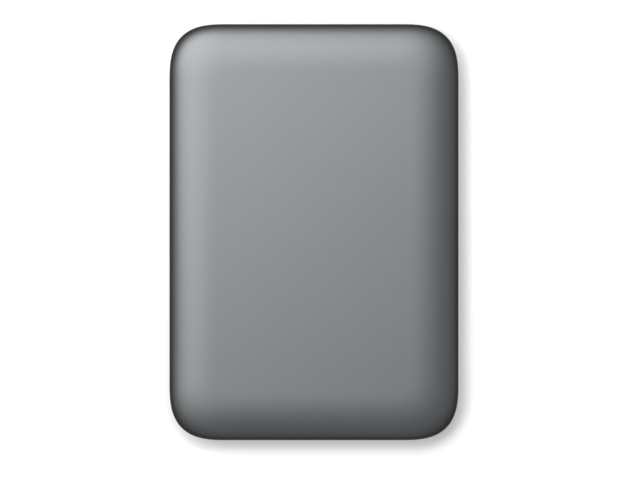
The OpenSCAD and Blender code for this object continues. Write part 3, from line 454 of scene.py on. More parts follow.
foot_x, foot_y = 28 * mm, 44 * mm
foot_radius = 4 * mm
foot_spots = [(x, y) for x in (-foot_x, foot_x) for y in (-foot_y, foot_y)]
pocket_radius, pocket_top = foot_radius + 0.05 * mm, 2 * base_low
foot_pockets = [
    turned([(0, 0), (pocket_radius, 0), (pocket_radius, pocket_top), (0, pocket_top)], spot)
    for spot in foot_spots
]
windows = blocks(
    *around_case(
        (-wall - snap_play, -snap_width / 2 - snap_play, seam - snap_drop),
        (-wall + snap_hold, snap_width / 2 + snap_play, seam - snap_drop + window_height),
    )
)
cut(lower_shell, [*port_openings, windows, *foot_pockets])

bumper_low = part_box("bumper_front_left")[0].z
bridge_low, bridge_high = (np.array(corner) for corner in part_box("bridge_board"))
drive_low, drive_high = (np.array(corner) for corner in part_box("drive_base"))
rib_half = 0.4 * mm
rib_top = floor_high + 0.9 * mm
floor_sunk = floor_high - 0.3 * mm
rest_in_x, rest_in_y = 5.425 * mm, 5 * mm
rest_x = drive_high[0] - rest_in_x
rest_y = drive_low[1] + rest_in_y, drive_high[1] - rest_in_y
cross = np.array([(4, 0.5), (0.5, 4)]) * mm
rests = [
    (x - w, x + w, y - l, y + l, floor_sunk, bumper_low)
    for x in (-rest_x, rest_x) for y in rest_y for w, l in cross
]
floor_front, floor_back = 15 * mm - half_case[1], half_case[1] - 19 * mm
floor_side = half_case[0] - 13 * mm
floor_ribs = [
    (x - rib_half, x + rib_half, floor_front, floor_back, floor_sunk, rib_top)
    for x in (-12 * mm, 12 * mm)
] + [
    (-floor_side, floor_side, y - rib_half, y + rib_half, floor_sunk, rib_top)
    for y in (-32 * mm, -8 * mm, 16 * mm)
]
stake_x = bridge_high[0] - 3.5 * mm
stake_y = bridge_high[1] - 1.9 * mm
stake_radius = 0.95 * mm
foot_half = 1.5 * mm
stake_feet = [
    (x - foot_half, x + foot_half, stake_y - foot_half, stake_y + foot_half, floor_sunk, bridge_low[2])
    for x in (-stake_x, stake_x)
]
rib_spans = np.array(rests + floor_ribs + stake_feet)
stakes = [
    turned(
        eased(
            [
                (0, bridge_low[2] - 0.3 * mm),
                (stake_radius, bridge_low[2] - 0.3 * mm),
                (stake_radius, bridge_high[2] + 0.42 * mm),
                (0, bridge_high[2] + 0.5 * mm),
            ],
            0.3 * mm,
        ),
        (x, stake_y),
        24,
    )
    for x in (-stake_x, stake_x)
]
merged(lower_shell, [blocks(rib_spans[:, 0::2], rib_spans[:, 1::2]), *stakes], 35)


def shared_group(name, inputs, outputs):
    """An empty shader node group with named inputs and outputs, and its two end nodes."""
    group = bpy.data.node_groups.new(name, "ShaderNodeTree")
    for label, kind, value in inputs:
        socket = group.interface.new_socket(label, in_out="INPUT", socket_type="NodeSocket" + kind)
        if value is not None:
            socket.default_value = value
    for label, kind in outputs:
        group.interface.new_socket(label, in_out="OUTPUT", socket_type="NodeSocket" + kind)
    return group, group.nodes.new("NodeGroupInput"), group.nodes.new("NodeGroupOutput")


# fine bumps of one size, as a height from 0 to 1
grain, ends_in, ends_out = shared_group(
    "grain",
    [("Vector", "Vector", None), ("Size", "Float", 5000.0), ("Roughness", "Float", 0.5)],
    [("Height", "Float")],
)
given = ends_in.outputs
clouds = node(
    grain,
    "TexNoise",
    {"Vector": given["Vector"], "Scale": given["Size"], "Detail": 3.0, "Roughness": given["Roughness"]},
)
grain.links.new(clouds.outputs[0], ends_out.inputs["Height"])

# slow drift between two tones of one colour
drift, ends_in, ends_out = shared_group(
    "drift",
    [("Vector", "Vector", None), ("Size", "Float", 100.0), ("Light", "Color", None), ("Dark", "Color", None)],
    [("Color", "Color"), ("Mask", "Float")],
)
given = ends_in.outputs
clouds = node(
    drift, "TexNoise", {"Vector": given["Vector"], "Scale": given["Size"], "Detail": 4.0, "Roughness": 0.55}
)
spread = node(drift, "MapRange", {"Value": clouds.outputs[0], "From Min": 0.3, "From Max": 0.7})
tones = node(
    drift, "MixRGB", {"Fac": spread.outputs[0], "Color1": given["Dark"], "Color2": given["Light"]}
)
drift.links.new(tones.outputs[0], ends_out.inputs["Color"])
drift.links.new(spread.outputs[0], ends_out.inputs["Mask"])

# where an edge is rubbed, with a painted highlight where it would catch light: the bevelled normal leaves the
# true one there
worn_and_highlit_edges, ends_in, ends_out = shared_group("worn_and_highlit_edges", [("Width", "Float", 0.0002)], [("Mask", "Float")])
eased_normal = node(worn_and_highlit_edges, "Bevel", {"Radius": ends_in.outputs["Width"]}, samples=4)
true_normal = node(worn_and_highlit_edges, "NewGeometry")
agree = node(
    worn_and_highlit_edges,
    "VectorMath",
    {0: eased_normal.outputs[0], 1: true_normal.outputs["Normal"]},
    operation="DOT_PRODUCT",
)
turned_away = node(
    worn_and_highlit_edges, "MapRange", {"Value": agree.outputs["Value"], "From Min": 0.97, "From Max": 0.75}
)
worn_and_highlit_edges.links.new(turned_away.outputs[0], ends_out.inputs["Mask"])

# tool marks: a place stretched along the strokes, and one that only knows its turning radius
stroked, ends_in, ends_out = shared_group(
    "stroked", [("Vector", "Vector", None), ("Stretch", "Vector", (1, 1, 1))], [("Vector", "Vector")]
)
given = ends_in.outputs
strokes = node(stroked, "VectorMath", {0: given["Vector"], 1: given["Stretch"]}, operation="MULTIPLY")
stroked.links.new(strokes.outputs["Vector"], ends_out.inputs["Vector"])

lathed, ends_in, ends_out = shared_group(
    "lathed", [("Vector", "Vector", None), ("Centre", "Vector", (0, 0, 0))], [("Vector", "Vector")]
)
given = ends_in.outputs
from_axis = node(lathed, "VectorMath", {0: given["Vector"], 1: given["Centre"]}, operation="SUBTRACT")
flat_part = node(lathed, "VectorMath", {0: from_axis.outputs["Vector"], 1: (1, 1, 0)}, operation="MULTIPLY")
radius = node(lathed, "VectorMath", {0: flat_part.outputs["Vector"]}, operation="LENGTH")
level = node(lathed, "SeparateXYZ", {0: from_axis.outputs["Vector"]})
rings = node(lathed, "CombineXYZ", {"X": radius.outputs["Value"], "Z": level.outputs["Z"]})
lathed.links.new(rings.outputs[0], ends_out.inputs["Vector"])


def finish(name, colours, size=120.0, edge_wear_and_highlight=None, metallic=0.0, rough=(0.4, 0.5), grains=(),
           strokes=None, around=None, **fixed):
    """A shader whose colour drifts between the first two colours and, given an edge width,
    turns to the third, lighter one along edges, which is wear and a painted highlight. rough
    is the roughness at the drift's two ends. Each of grains is (size, roughness, depth) of a
    bump. Its marks are drawn out by strokes, or turned about the upright line through
    around. Other numbers go on the shader's sockets."""
    made = bpy.data.materials.new(name)
    made.use_nodes = True
    tree = made.node_tree
    tree.nodes.clear()
    out = tree.nodes.new("ShaderNodeOutputMaterial")
    spot = node(tree, "TexCoord").outputs["Object"]
    if strokes:
        spot = node(tree, "Group", {"Vector": spot, "Stretch": strokes}, node_tree=stroked).outputs[0]
    if around is not None:
        spot = node(tree, "Group", {"Vector": spot, "Centre": (*around[:2], 0)}, node_tree=lathed).outputs[0]
    shader = node(tree, "BsdfPrincipled", {"Metallic": metallic, **fixed})
    tree.links.new(shader.outputs[0], out.inputs["Surface"])
    tone = node(tree, "Group", node_tree=drift)
    tree.links.new(spot, tone.inputs["Vector"])
    tone.inputs["Size"].default_value = size
    tone.inputs["Dark"].default_value = (*colours[0], 1)
    tone.inputs["Light"].default_value = (*colours[1], 1)
    colour = tone.outputs["Color"]
    # lighter edges: wear, and a painted highlight along them
    if edge_wear_and_highlight:
        edge = node(tree, "Group", node_tree=worn_and_highlit_edges)
        edge.inputs["Width"].default_value = edge_wear_and_highlight
        colour = node(
            tree, "MixRGB", {"Fac": edge.outputs["Mask"], "Color1": colour, "Color2": (*colours[2], 1)}
        ).outputs[0]
    tree.links.new(colour, shader.inputs["Base Color"])
    dullness = node(
        tree, "MapRange", {"Value": tone.outputs["Mask"], "To Min": rough[0], "To Max": rough[1]}
    )
    tree.links.new(dullness.outputs[0], shader.inputs["Roughness"])
    normal = None
    for grain_size, grain_rough, depth in grains:
        bumps = node(tree, "Group", node_tree=grain)
        tree.links.new(spot, bumps.inputs["Vector"])
        bumps.inputs["Size"].default_value = grain_size
        bumps.inputs["Roughness"].default_value = grain_rough
        relief = node(tree, "Bump", {"Height": bumps.outputs["Height"], "Distance": depth})
        if normal:
            tree.links.new(normal, relief.inputs["Normal"])
        normal = relief.outputs[0]
    if normal:
        tree.links.new(normal, shader.inputs["Normal"])
    return made, tree, shader, spot, tone


base_plastic, *_ = finish(
    "base_plastic",
    ((0.034, 0.036, 0.038), (0.042, 0.044, 0.046), (0.065, 0.067, 0.07)),
    size=60, edge_wear_and_highlight=0.00012, rough=(0.46, 0.56), grains=((9000, 0.6, 9e-6), (700, 0.4, 3e-6)),
)


def clad(piece, material, body, slot, *nodes):
    """Gives a piece its material, sets it on its body, and hides the nodes it stands for. slot is not used.
    """
    piece.data.materials.clear()
    piece.data.materials.append(material)
    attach(piece, body)
    if nodes:
        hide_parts(*nodes)


clad(lower_shell, base_plastic, "housing", "base_plastic", "bottom_cover")


# The feet
# Four discs punched from black silicone rubber, pressed and glued into shallow round
# pockets under the lower shell. Their lower rim is softened and the face is slightly dished.

foot_top = 1.0 * mm
foot_profile = np.concatenate(
    [
        [(0, 0.06 * mm), (foot_radius - 1.1 * mm, 0.05 * mm)],
        eased(
            [
                (foot_radius - 0.9 * mm, 0),
                (foot_radius - 0.02 * mm, 0),
                (foot_radius - 0.02 * mm, foot_top),
                (foot_radius - 0.3 * mm, foot_top),
            ],
            0.28 * mm,
            6,
        ),
        [(0, foot_top)],
    ]
)
rubber, *_ = finish(
    "rubber",
    ((0.016, 0.016, 0.017), (0.026, 0.026, 0.027)),
    size=900, rough=(0.70, 0.86), grains=((6000, 0.7, 1.2e-5), (500, 0.5, 6e-6)),
)
feet = new_mesh("rubber_feet", *gathered(*[turned(foot_profile, spot, 64) for spot in foot_spots]), 40)
clad(feet, rubber, "housing", "rubber", "feet")


# The shock cups
# Four soft rubber cups around the bare drive's corners, moulded with rounded edges. They
# hold it off the case's walls and rest on crosses that stand on the lower shell's floor.


def softened(name, cad_name, radius, crease=np.radians(30)):
    """A copy of a CAD solid with its faces joined up and the edges sharper than crease
    rounded by radius. That only takes material away, so the piece stays inside the solid."""
    mesh = cad_node[cad_name].data.copy()
    mesh.name = name
    if mesh.has_custom_normals:
        bpy.context.view_layer.update()
    solid = bmesh.new()
    solid.from_mesh(mesh)
    bmesh.ops.remove_doubles(solid, verts=solid.verts, dist=2e-6)
    bmesh.ops.dissolve_limit(solid, angle_limit=np.radians(1), verts=solid.verts, edges=solid.edges)
    solid.to_mesh(mesh)
    solid.free()
    if "custom_normal" in mesh.attributes:
        mesh.attributes.remove(mesh.attributes["custom_normal"])
    mesh.shade_smooth()
    mesh.set_sharp_from_angle(angle=crease)
    made = bpy.data.objects.new(name, mesh)
    bpy.context.collection.objects.link(made)
    rounding = made.modifiers.new("rounding", "BEVEL")
    rounding.width = radius
    rounding.segments = 3
    rounding.limit_method = "ANGLE"
    rounding.angle_limit = crease
    rounding.harden_normals = True
    return made


for corner in ("front_left", "front_right", "back_left", "back_right"):
    cup = softened("shock_cup_" + corner, "bumper_" + corner, 0.35 * mm)
    clad(cup, rubber, "housing", "rubber", "bumper_" + corner)


# The drive's base casting
# A shallow tub die-cast in aluminium, with a grey pebbled skin and machined lands, that
# carries everything else in the drive. It stays as the solid, which holds the true bores.

cast_aluminium, *_ = finish(
    "cast_aluminium",
    ((0.33, 0.34, 0.35), (0.37, 0.38, 0.39), (0.54, 0.55, 0.56)),
    size=2600, edge_wear_and_highlight=0.00015, metallic=1.0, rough=(0.46, 0.56), grains=((7000, 0.6, 8e-6), (2600, 0.5, 8e-6)),
)


def dress(material, *names):
    """Puts a material in the slots of CAD solids that stay."""
    for name in names:
        slots = cad_node[name].data.materials
        slots.clear()
        slots.append(material)


dress(cast_aluminium, "drive_base")


# The spindle motor and disks
# Enamelled copper coils on a nine-tooth lamination stack turn a magnet ring inside an
# aluminium hub. Two sputtered glass disks sit on the hub under a sprung steel clamp.

copper, *_ = finish(
    "copper",
    ((0.52, 0.17, 0.06), (0.66, 0.25, 0.10), (0.78, 0.42, 0.24)),
    size=1500, metallic=0.9, rough=(0.22, 0.36), grains=((7000, 0.5, 1.5e-5),), **{"Coat Weight": 0.5},
)
bronze, *_ = finish(
    "bronze",
    ((0.42, 0.27, 0.12), (0.55, 0.37, 0.18), (0.7, 0.5, 0.28)),
    size=900, metallic=1.0, rough=(0.38, 0.52), grains=((9000, 0.7, 6e-6),),
)
joint_at = {joint["name"]: np.array(joint["pos_m"]) for joint in frame["joints"]}
spindle = joint_at["spindle_spin"]
bright_steel, *_ = finish(
    "bright_steel",
    ((0.30, 0.30, 0.31), (0.35, 0.35, 0.36), (0.50, 0.50, 0.51)),
    size=4200, edge_wear_and_highlight=0.0001, metallic=1.0, rough=(0.36, 0.46), grains=((6500, 0.6, 1.6e-6),),
    strokes=(1, 0.03, 1),
)
turned_steel, *_ = finish(
    "turned_steel",
    ((0.29, 0.29, 0.30), (0.34, 0.34, 0.35), (0.50, 0.50, 0.51)),
    size=5200, edge_wear_and_highlight=0.0001, metallic=1.0, rough=(0.34, 0.44), grains=((9000, 0.6, 1.6e-6),),
    around=spindle,
)
magnet_nickel, *_ = finish(
    "magnet_nickel",
    ((0.38, 0.36, 0.33), (0.42, 0.40, 0.37), (0.58, 0.56, 0.53)),
    size=900, edge_wear_and_highlight=0.0001, metallic=1.0, rough=(0.22, 0.30), grains=((3500, 0.5, 2e-6),),
)
turned_aluminium, *_ = finish(
    "turned_aluminium",
    ((0.43, 0.44, 0.45), (0.50, 0.51, 0.52), (0.64, 0.65, 0.66)),
    size=6500, edge_wear_and_highlight=0.00012, metallic=1.0, rough=(0.24, 0.34), grains=((11000, 0.5, 1.6e-6),),
    around=spindle,
)
disk_coating, *_ = finish(
    "disk_coating",
    ((0.25, 0.255, 0.265), (0.28, 0.285, 0.295)),
    size=700, metallic=1.0, rough=(0.05, 0.08), grains=((9000, 0.5, 6e-8),),
    around=spindle,
)


def wound(place, wires, rows, wire, around):
    """Points and faces of a coil of round wire. place(turn, across, up) puts a point of the
    winding, where across runs 0 to 1 from the inner to the outer loop and up from -1 to 1.
    The section is a rectangle whose four sides dip between the wires, as rows of them do."""

    def dips(count, steps=5):
        at = np.linspace(0, 1, count * steps, endpoint=False)
        return at, wire * (1 - np.abs(np.sin(np.pi * count * at)))

    level, level_dip = dips(wires)
    rise, rise_dip = dips(rows)
    side_dip = 0.6 * rise_dip
    across = np.concatenate([level, 1 - side_dip, 1 - level, side_dip])
    up = np.concatenate([level_dip - 1, 2 * rise - 1, 1 - level_dip, 1 - 2 * rise])
    turn = np.arange(around) * 2 * np.pi / around
    points = np.stack(np.broadcast_arrays(*place(turn[:, None], across[None, :], up[None, :])), -1)
    columns = len(across)
    row, column = np.meshgrid(np.arange(around), np.arange(columns), indexing="ij")
    next_row, next_column = (row + 1) % around, (column + 1) % columns
    corners = [(row, column), (next_row, column), (next_row, next_column), (row, next_column)]
    faces = np.stack([r * columns + c for r, c in corners], -1).reshape(-1, 4).tolist()
    return points.reshape(-1, 3), faces


def squarish(turn, power):
    """Both coordinates of |x|^p + |y|^p = 1 at a polar angle."""
    grow = (np.abs(np.cos(turn)) ** power + np.abs(np.sin(turn)) ** power) ** (-1 / power)
    return grow * np.cos(turn), grow * np.sin(turn)


teeth = 9
coil_near, coil_far = 5.2 * mm, 6.85 * mm
coil_inner, coil_outer = np.array([0.56, 0.36]) * mm, np.array([1.05, 0.90]) * mm
coil_level = 2.2 * mm


def tooth_coil(tooth):
    """The winding round one tooth, across it and up, from near the spindle to the rim."""
    ahead = tooth * 2 * np.pi / teeth

    def place(turn, across, up):
        x, y = squarish(turn, 5)
        aside = x * (coil_inner[0] + (coil_outer[0] - coil_inner[0]) * across)
        rise = y * (coil_inner[1] + (coil_outer[1] - coil_inner[1]) * across)
        out = (coil_near + coil_far) / 2 + up * (coil_far - coil_near) / 2
        return (
            spindle[0] + out * np.cos(ahead) - aside * np.sin(ahead),
            spindle[1] + out * np.sin(ahead) + aside * np.cos(ahead),
            spindle[2] + coil_level + rise,
        )

    return wound(place, 3, 11, 0.16, 40)


stator_windings = new_mesh("stator_windings", *gathered(*[tooth_coil(i) for i in range(teeth)]), 60)
clad(stator_windings, copper, "housing", "copper", "stator_coils")
dress(bronze, "spindle_sleeve")
dress(magnet_nickel, "rotor_magnet")
dress(turned_aluminium, "spindle_hub", "platter_spacer")
dress(disk_coating, "platter_lower", "platter_upper")
dress(turned_steel, "spindle_shaft", "disk_clamp", "clamp_screw")
dress(bright_steel, "stator_core")


# The head stack
# A machined aluminium comb swings on two small ball bearings in one sleeve. A flat copper
# coil is moulded to its back between two magnet plates, and thin sprung steel carries the heads.

black_resin, *_ = finish(
    "black_resin",
    ((0.020, 0.020, 0.022), (0.032, 0.032, 0.034), (0.06, 0.06, 0.062)),
    size=700, edge_wear_and_highlight=0.0001, rough=(0.34, 0.48), grains=((4500, 0.6, 5e-6),),
)
milled_aluminium, *_ = finish(
    "milled_aluminium",
    ((0.34, 0.35, 0.36), (0.39, 0.40, 0.41), (0.55, 0.56, 0.57)),
    size=5200, edge_wear_and_highlight=0.00012, metallic=1.0, rough=(0.34, 0.44), grains=((9000, 0.5, 1.6e-6),),
    strokes=(1, 0.06, 1),
)
slider_ceramic, *_ = finish(
    "slider_ceramic",
    ((0.035, 0.035, 0.04), (0.05, 0.05, 0.055)),
    size=4000, rough=(0.18, 0.26), grains=((20000, 0.5, 1e-6),),
)


def soften(material, body, slot, *rows):
    """Replaces CAD solids by softened copies, given as (new name, solid, edge radius)."""
    for name, cad_name, radius in rows:
        clad(softened(name, cad_name, radius), material, body, slot, cad_name)


dress(bright_steel, "pivot_shaft", "pivot_bearing", "head_suspensions", "yoke_standoffs")
soften(bright_steel, "housing", "bright_steel", ("lower_flux_plate", "lower_yoke", 0.07 * mm),
       ("upper_flux_plate", "upper_yoke", 0.12 * mm))
soften(magnet_nickel, "housing", "magnet_nickel", ("lower_coil_magnet", "lower_magnet", 0.10 * mm),
       ("upper_coil_magnet", "upper_magnet", 0.10 * mm))
soften(milled_aluminium, "head_stack", "machined_aluminium", ("head_comb", "arm_block", 0.10 * mm))
soften(black_resin, "head_stack", "black_resin", ("coil_fork", "coil_frame", 0.15 * mm))
soften(black_resin, "latch", "black_resin", ("parking_latch", "latch_lever", 0.20 * mm))
soften(black_resin, "housing", "black_resin", ("flex_dock", "flex_bracket", 0.15 * mm))
soften(rubber, "housing", "rubber", ("stop_posts", "crash_stops", 0.25 * mm))
dress(slider_ceramic, "head_sliders")

pivot = joint_at["actuator_swing"]
parked_arm = -56.01
fork_ahead = np.radians(180 + parked_arm)
coil_middle = 12.85 * mm
coil_reach = np.array([1.65, 4.05]) * mm
coil_swing = np.radians([8, 17])
coil_low, coil_high = (corner.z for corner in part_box("voice_coil"))


def round_the_fork(turn, across, up):
    """The flat coil's place: a rounded sector between two radii and two angles."""
    inner, outer = squarish(turn, 4), squarish(turn, 9)
    radius = coil_middle + (1 - across) * coil_reach[0] * inner[0] + across * coil_reach[1] * outer[0]
    angle = fork_ahead + (1 - across) * coil_swing[0] * inner[1] + across * coil_swing[1] * outer[1]
    return (
        pivot[0] + radius * np.cos(angle),
        pivot[1] + radius * np.sin(angle),
        (coil_low + coil_high) / 2 + up * (coil_high - coil_low) / 2,
    )


flat_coil = new_mesh("flat_coil", *wound(round_the_fork, 18, 5, 0.14, 144), 60)
clad(flat_coil, copper, "head_stack", "copper", "voice_coil")

ramp_acetal, *_ = finish(
    "ramp_acetal",
    ((0.60, 0.55, 0.42), (0.68, 0.63, 0.50), (0.8, 0.76, 0.66)),
    size=500, rough=(0.30, 0.40), grains=((6000, 0.5, 3e-6),), **{"Subsurface Weight": 0.15},
)
filter_cloth, *_ = finish(
    "filter_cloth",
    ((0.62, 0.62, 0.60), (0.78, 0.78, 0.76)),
    size=2500, rough=(0.85, 0.95), grains=((7000, 0.8, 4e-5),),
)
soften(ramp_acetal, "housing", "clear_plastic", ("parking_ramp", "load_ramp", 0.03 * mm))
soften(filter_cloth, "housing", "clear_plastic", ("filter_pouch", "recirculation_filter", 0.45 * mm))

flex_film, tree, shader, spot, tone = finish(
    "flex_film",
    ((0.42, 0.19, 0.04), (0.52, 0.26, 0.06)),
    size=1500, rough=(0.22, 0.32), grains=((5000, 0.5, 2e-6),), **{"Coat Weight": 0.4},
)
track_pitch = 0.36 * mm
height = node(tree, "SeparateXYZ", {0: spot}).outputs["Z"]
wave = node(tree, "Math", {0: height, 1: 2 * np.pi / track_pitch}, operation="MULTIPLY")
wave = node(tree, "Math", {0: wave.outputs[0]}, operation="SINE")
track = node(tree, "MapRange", {"Value": wave.outputs[0], "From Min": -0.1, "From Max": 0.15})
film, covered_copper = tone.outputs["Color"], (0.30, 0.095, 0.015, 1)
striped = node(tree, "MixRGB", {"Fac": track.outputs[0], "Color1": film, "Color2": covered_copper})
tree.links.new(striped.outputs[0], shader.inputs["Base Color"])

ribbon_half = np.array([0.06, 1.0]) * mm
ribbon_handles = pivot[:2] + np.array([(-5.9, -2.8), (-11.5, -5.5), (-17.5, -5.1), (-19.6, 1.6)]) * mm
ribbon_low, ribbon_high = (corner.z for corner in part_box("flex_cable"))


def bent_ribbon(handles, rows=64, columns=24):
    """A flat cable on edge along a cubic curve: its thin rounded section is carried along
    the curve at right angles to it, and both ends are closed."""
    t = np.linspace(0, 1, rows)[:, None]
    pull = [(1 - t) ** 3, 3 * t * (1 - t) ** 2, 3 * t * t * (1 - t), t ** 3]
    along = sum(handle * share for handle, share in zip(handles, pull))
    ahead = np.gradient(along, axis=0)
    aside = np.stack([-ahead[:, 1], ahead[:, 0]], -1) / np.linalg.norm(ahead, axis=1, keepdims=True)
    x, z = squarish(np.arange(columns) * 2 * np.pi / columns, 8)
    plan = along[:, None] + aside[:, None] * (ribbon_half[0] * x)[None, :, None]
    level = (ribbon_low + ribbon_high) / 2 + np.broadcast_to(ribbon_half[1] * z, (rows, columns))
    return np.concatenate([plan, level[..., None]], -1), tube_faces(rows, columns)


ribbon = new_mesh("flex_ribbon", *bent_ribbon(ribbon_handles), 50)
ribbon.data.materials.append(flex_film)
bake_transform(ribbon)
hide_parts("flex_cable")


# The drive's cover
# A lid pressed from thin bright steel over a foam gasket, held by six star-headed screws.
# Its middle is raised, and its rim lies on the base casting.

foam, *_ = finish(
    "foam",
    ((0.018, 0.018, 0.020), (0.045, 0.045, 0.048)),
    size=5200, rough=(0.88, 0.97), grains=((5200, 0.8, 6e-5), (1500, 0.6, 4e-5)),
)
cover_steel, *_ = finish(
    "cover_steel",
    ((0.31, 0.31, 0.32), (0.35, 0.35, 0.36), (0.50, 0.50, 0.51)),
    size=3800, edge_wear_and_highlight=0.0001, metallic=1.0, rough=(0.44, 0.52), grains=((5200, 0.6, 2.4e-6),),
    strokes=(1, 0.03, 1),
)
dress(foam, "cover_gasket")
dress(cover_steel, "drive_cover")
dress(bright_steel, "cover_screws")


# The controller board
# A green glass-fibre board in the casting's underside, its chips on the hidden face, held
# by three small screws. The plug at its end reaches through the casting's notch.

board_mask, tree, shader, spot, tone = finish(
    "board_mask",
    ((0.008, 0.075, 0.030), (0.012, 0.110, 0.045)),
    size=800, rough=(0.22, 0.34), grains=((2400, 0.5, 4e-6),), **{"Coat Weight": 0.3},
)
# tracks run in bundles, each patch of them along the board or across it
patch = node(
    tree, "TexVoronoi", {"Vector": spot, "Scale": 330.0, "Randomness": 0.8}, distance="CHEBYCHEV"
).outputs["Color"]
turn_pick, bundle_pick, _ = node(tree, "SeparateColor", {0: patch}).outputs
along, across, _ = node(tree, "SeparateXYZ", {0: spot}).outputs
board_pitch = 0.42 * mm
lanes = []
for way in (along, across):
    phase = node(tree, "Math", {0: way, 1: 2 * np.pi / board_pitch}, operation="MULTIPLY")
    lanes.append(node(tree, "Math", {0: phase.outputs[0]}, operation="SINE").outputs[0])
turned_lane = node(tree, "Math", {0: turn_pick, 1: 0.5}, operation="GREATER_THAN")
lane = node(tree, "Mix", {0: turned_lane.outputs[0], 2: lanes[0], 3: lanes[1]})
in_lane = node(tree, "MapRange", {"Value": lane.outputs[0], "From Min": 0.1, "From Max": 0.35})
in_bundle = node(tree, "Math", {0: bundle_pick, 1: 0.42}, operation="GREATER_THAN")
track = node(tree, "Math", {0: in_lane.outputs[0], 1: in_bundle.outputs[0]}, operation="MULTIPLY")
mask, covered_track = tone.outputs["Color"], (0.028, 0.19, 0.08, 1)
track_tone = node(tree, "MixRGB", {"Fac": track.outputs[0], "Color1": mask, "Color2": covered_track})
spots = node(tree, "TexVoronoi", {"Vector": spot, "Scale": 760.0}).outputs[0]
via = node(tree, "MapRange", {"Value": spots, "From Min": 0.17, "From Max": 0.13})
tinned = (0.42, 0.44, 0.30, 1)
via_tone = node(
    tree, "MixRGB", {"Fac": via.outputs[0], "Color1": track_tone.outputs[0], "Color2": tinned}
)
tree.links.new(via_tone.outputs[0], shader.inputs["Base Color"])
chip_resin, *_ = finish(
    "chip_resin",
    ((0.022, 0.022, 0.024), (0.034, 0.034, 0.036), (0.06, 0.06, 0.06)),
    size=1500, edge_wear_and_highlight=0.00008, rough=(0.50, 0.62), grains=((14000, 0.6, 4e-6),),
)
gold_contact, *_ = finish(
    "gold_contact",
    ((0.80, 0.52, 0.16), (0.90, 0.62, 0.24)),
    size=900, metallic=1.0, rough=(0.16, 0.26), grains=((9000, 0.5, 1e-6),),
)
dress(board_mask, "drive_board", "bridge_board")
dress(bright_steel, "board_screws")
soften(chip_resin, "housing", "chip_resin", ("controller_package", "controller_chip", 0.07 * mm),
       ("motor_driver_package", "motor_driver_chip", 0.07 * mm), ("cache_package", "cache_chip", 0.07 * mm),
       ("bridge_package", "bridge_chip", 0.07 * mm), ("flash_package", "flash_chip", 0.05 * mm))
soften(bright_steel, "housing", "bright_steel", ("crystal_can", "clock_crystal", 0.25 * mm))
soften(black_resin, "housing", "black_resin", ("drive_plug", "sata_plug", 0.10 * mm),
       ("drive_socket", "sata_socket", 0.10 * mm))
dress(gold_contact, "sata_plug_contacts", "sata_socket_contacts")

ceramic, *_ = finish(
    "ceramic",
    ((0.33, 0.24, 0.16), (0.42, 0.31, 0.21)),
    size=900, rough=(0.45, 0.60), grains=((9000, 0.6, 3e-6),),
)
solder, *_ = finish(
    "solder",
    ((0.62, 0.62, 0.63), (0.74, 0.74, 0.75)),
    size=2500, metallic=1.0, rough=(0.22, 0.34), grains=((6000, 0.5, 8e-6),),
)


def chip_parts(name, spots, level, size):
    """Chip capacitors and resistors soldered flat on a board: a ceramic body and two
    solder ends at each (x, y, quarter turn) spot, in millimetres."""
    spots = np.array(spots, float)
    sunk, body_share, end_share = 0.02, 0.92, 0.30
    lie = np.where(spots[:, 2:] > 0, size[[1, 0]], size[:2]) * mm / 2
    centre = spots[:, :2] * mm
    foot = np.full(len(centre), level - sunk * mm)
    body_low = np.c_[centre - body_share * lie, foot]
    body_high = np.c_[centre + body_share * lie, np.full(len(centre), level + size[2] * mm)]
    bodies = new_mesh(name + "_bodies", *blocks(body_low, body_high))
    clad(bodies, ceramic, "housing", "chip_resin")
    longer = lie == lie.max(1, keepdims=True)
    end = np.where(longer, end_share * lie, lie)
    shift = np.where(longer, lie - end, 0)
    ends = np.concatenate([centre - shift, centre + shift])
    spans = np.concatenate([end, end])
    low = np.c_[ends - spans, np.concatenate([foot, foot])]
    high = np.c_[ends + spans, np.full(len(ends), level + (size[2] + sunk) * mm)]
    caps = new_mesh(name + "_solder", *blocks(low, high))
    clad(caps, solder, "housing", "bright_steel")
    for piece in (bodies, caps):
        rounding = piece.modifiers.new("rounding", "BEVEL")
        rounding.width = 0.05 * mm
        rounding.segments = 2


small = np.array([1.0, 0.5, 0.42])
drive_board_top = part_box("drive_board")[1].z
chip_parts(
    "drive_board_parts",
    [(-14, y, 0) for y in (23.5, 25, 26.5, 28, 29.5)]
    + [(x, 34.6, 1) for x in (-24, -22.5, -21, -19.5, -18, -12, -10.5, -9)]
    + [(x, 39, 1) for x in (-25, -23.5, -22, -16, -14.5, -13, 20.5, 22)]
    + [(-29.6, y, 0) for y in (27.5, 29, 30.5, 32)],
    drive_board_top,
    small,
)
chip_parts(
    "bridge_parts",
    [(-26.9, y, 0) for y in (50.8, 52)]
    + [(-8.4, y, 0) for y in (53.4, 54.8)]
    + [(-15, y, 0) for y in (53.5, 54.9)]
    + [(x, y, 1) for x in (8.6, 9.7, 10.8, 11.9) for y in (53.4, 55.0)]
    + [(23.6, 51, 1), (24.8, 51, 1), (26, 51, 1)],
    bridge_high[2],
    small,
)


# The port and the status light
# The socket's shell is folded from bright nickel-plated steel, with its two bays side by
# side. A clear acrylic bar carries the light from the lamp on the board to the case's back.

clear_plastic, *_ = finish(
    "clear_plastic",
    ((0.93, 0.95, 0.95), (0.97, 0.98, 0.98)),
    size=300, rough=(0.06, 0.10), grains=((3000, 0.5, 1e-6),), IOR=1.49, **{"Transmission Weight": 0.9},
)
soften(bright_steel, "housing", "bright_steel", ("port_shell", "usb_shell", 0.06 * mm))
soften(black_resin, "housing", "black_resin", ("port_tongues", "usb_tongue", 0.06 * mm))
dress(gold_contact, "usb_contacts")
soften(clear_plastic, "housing", "clear_plastic", ("light_bar", "light_pipe", 0.12 * mm),
       ("status_lamp", "status_led", 0.08 * mm))


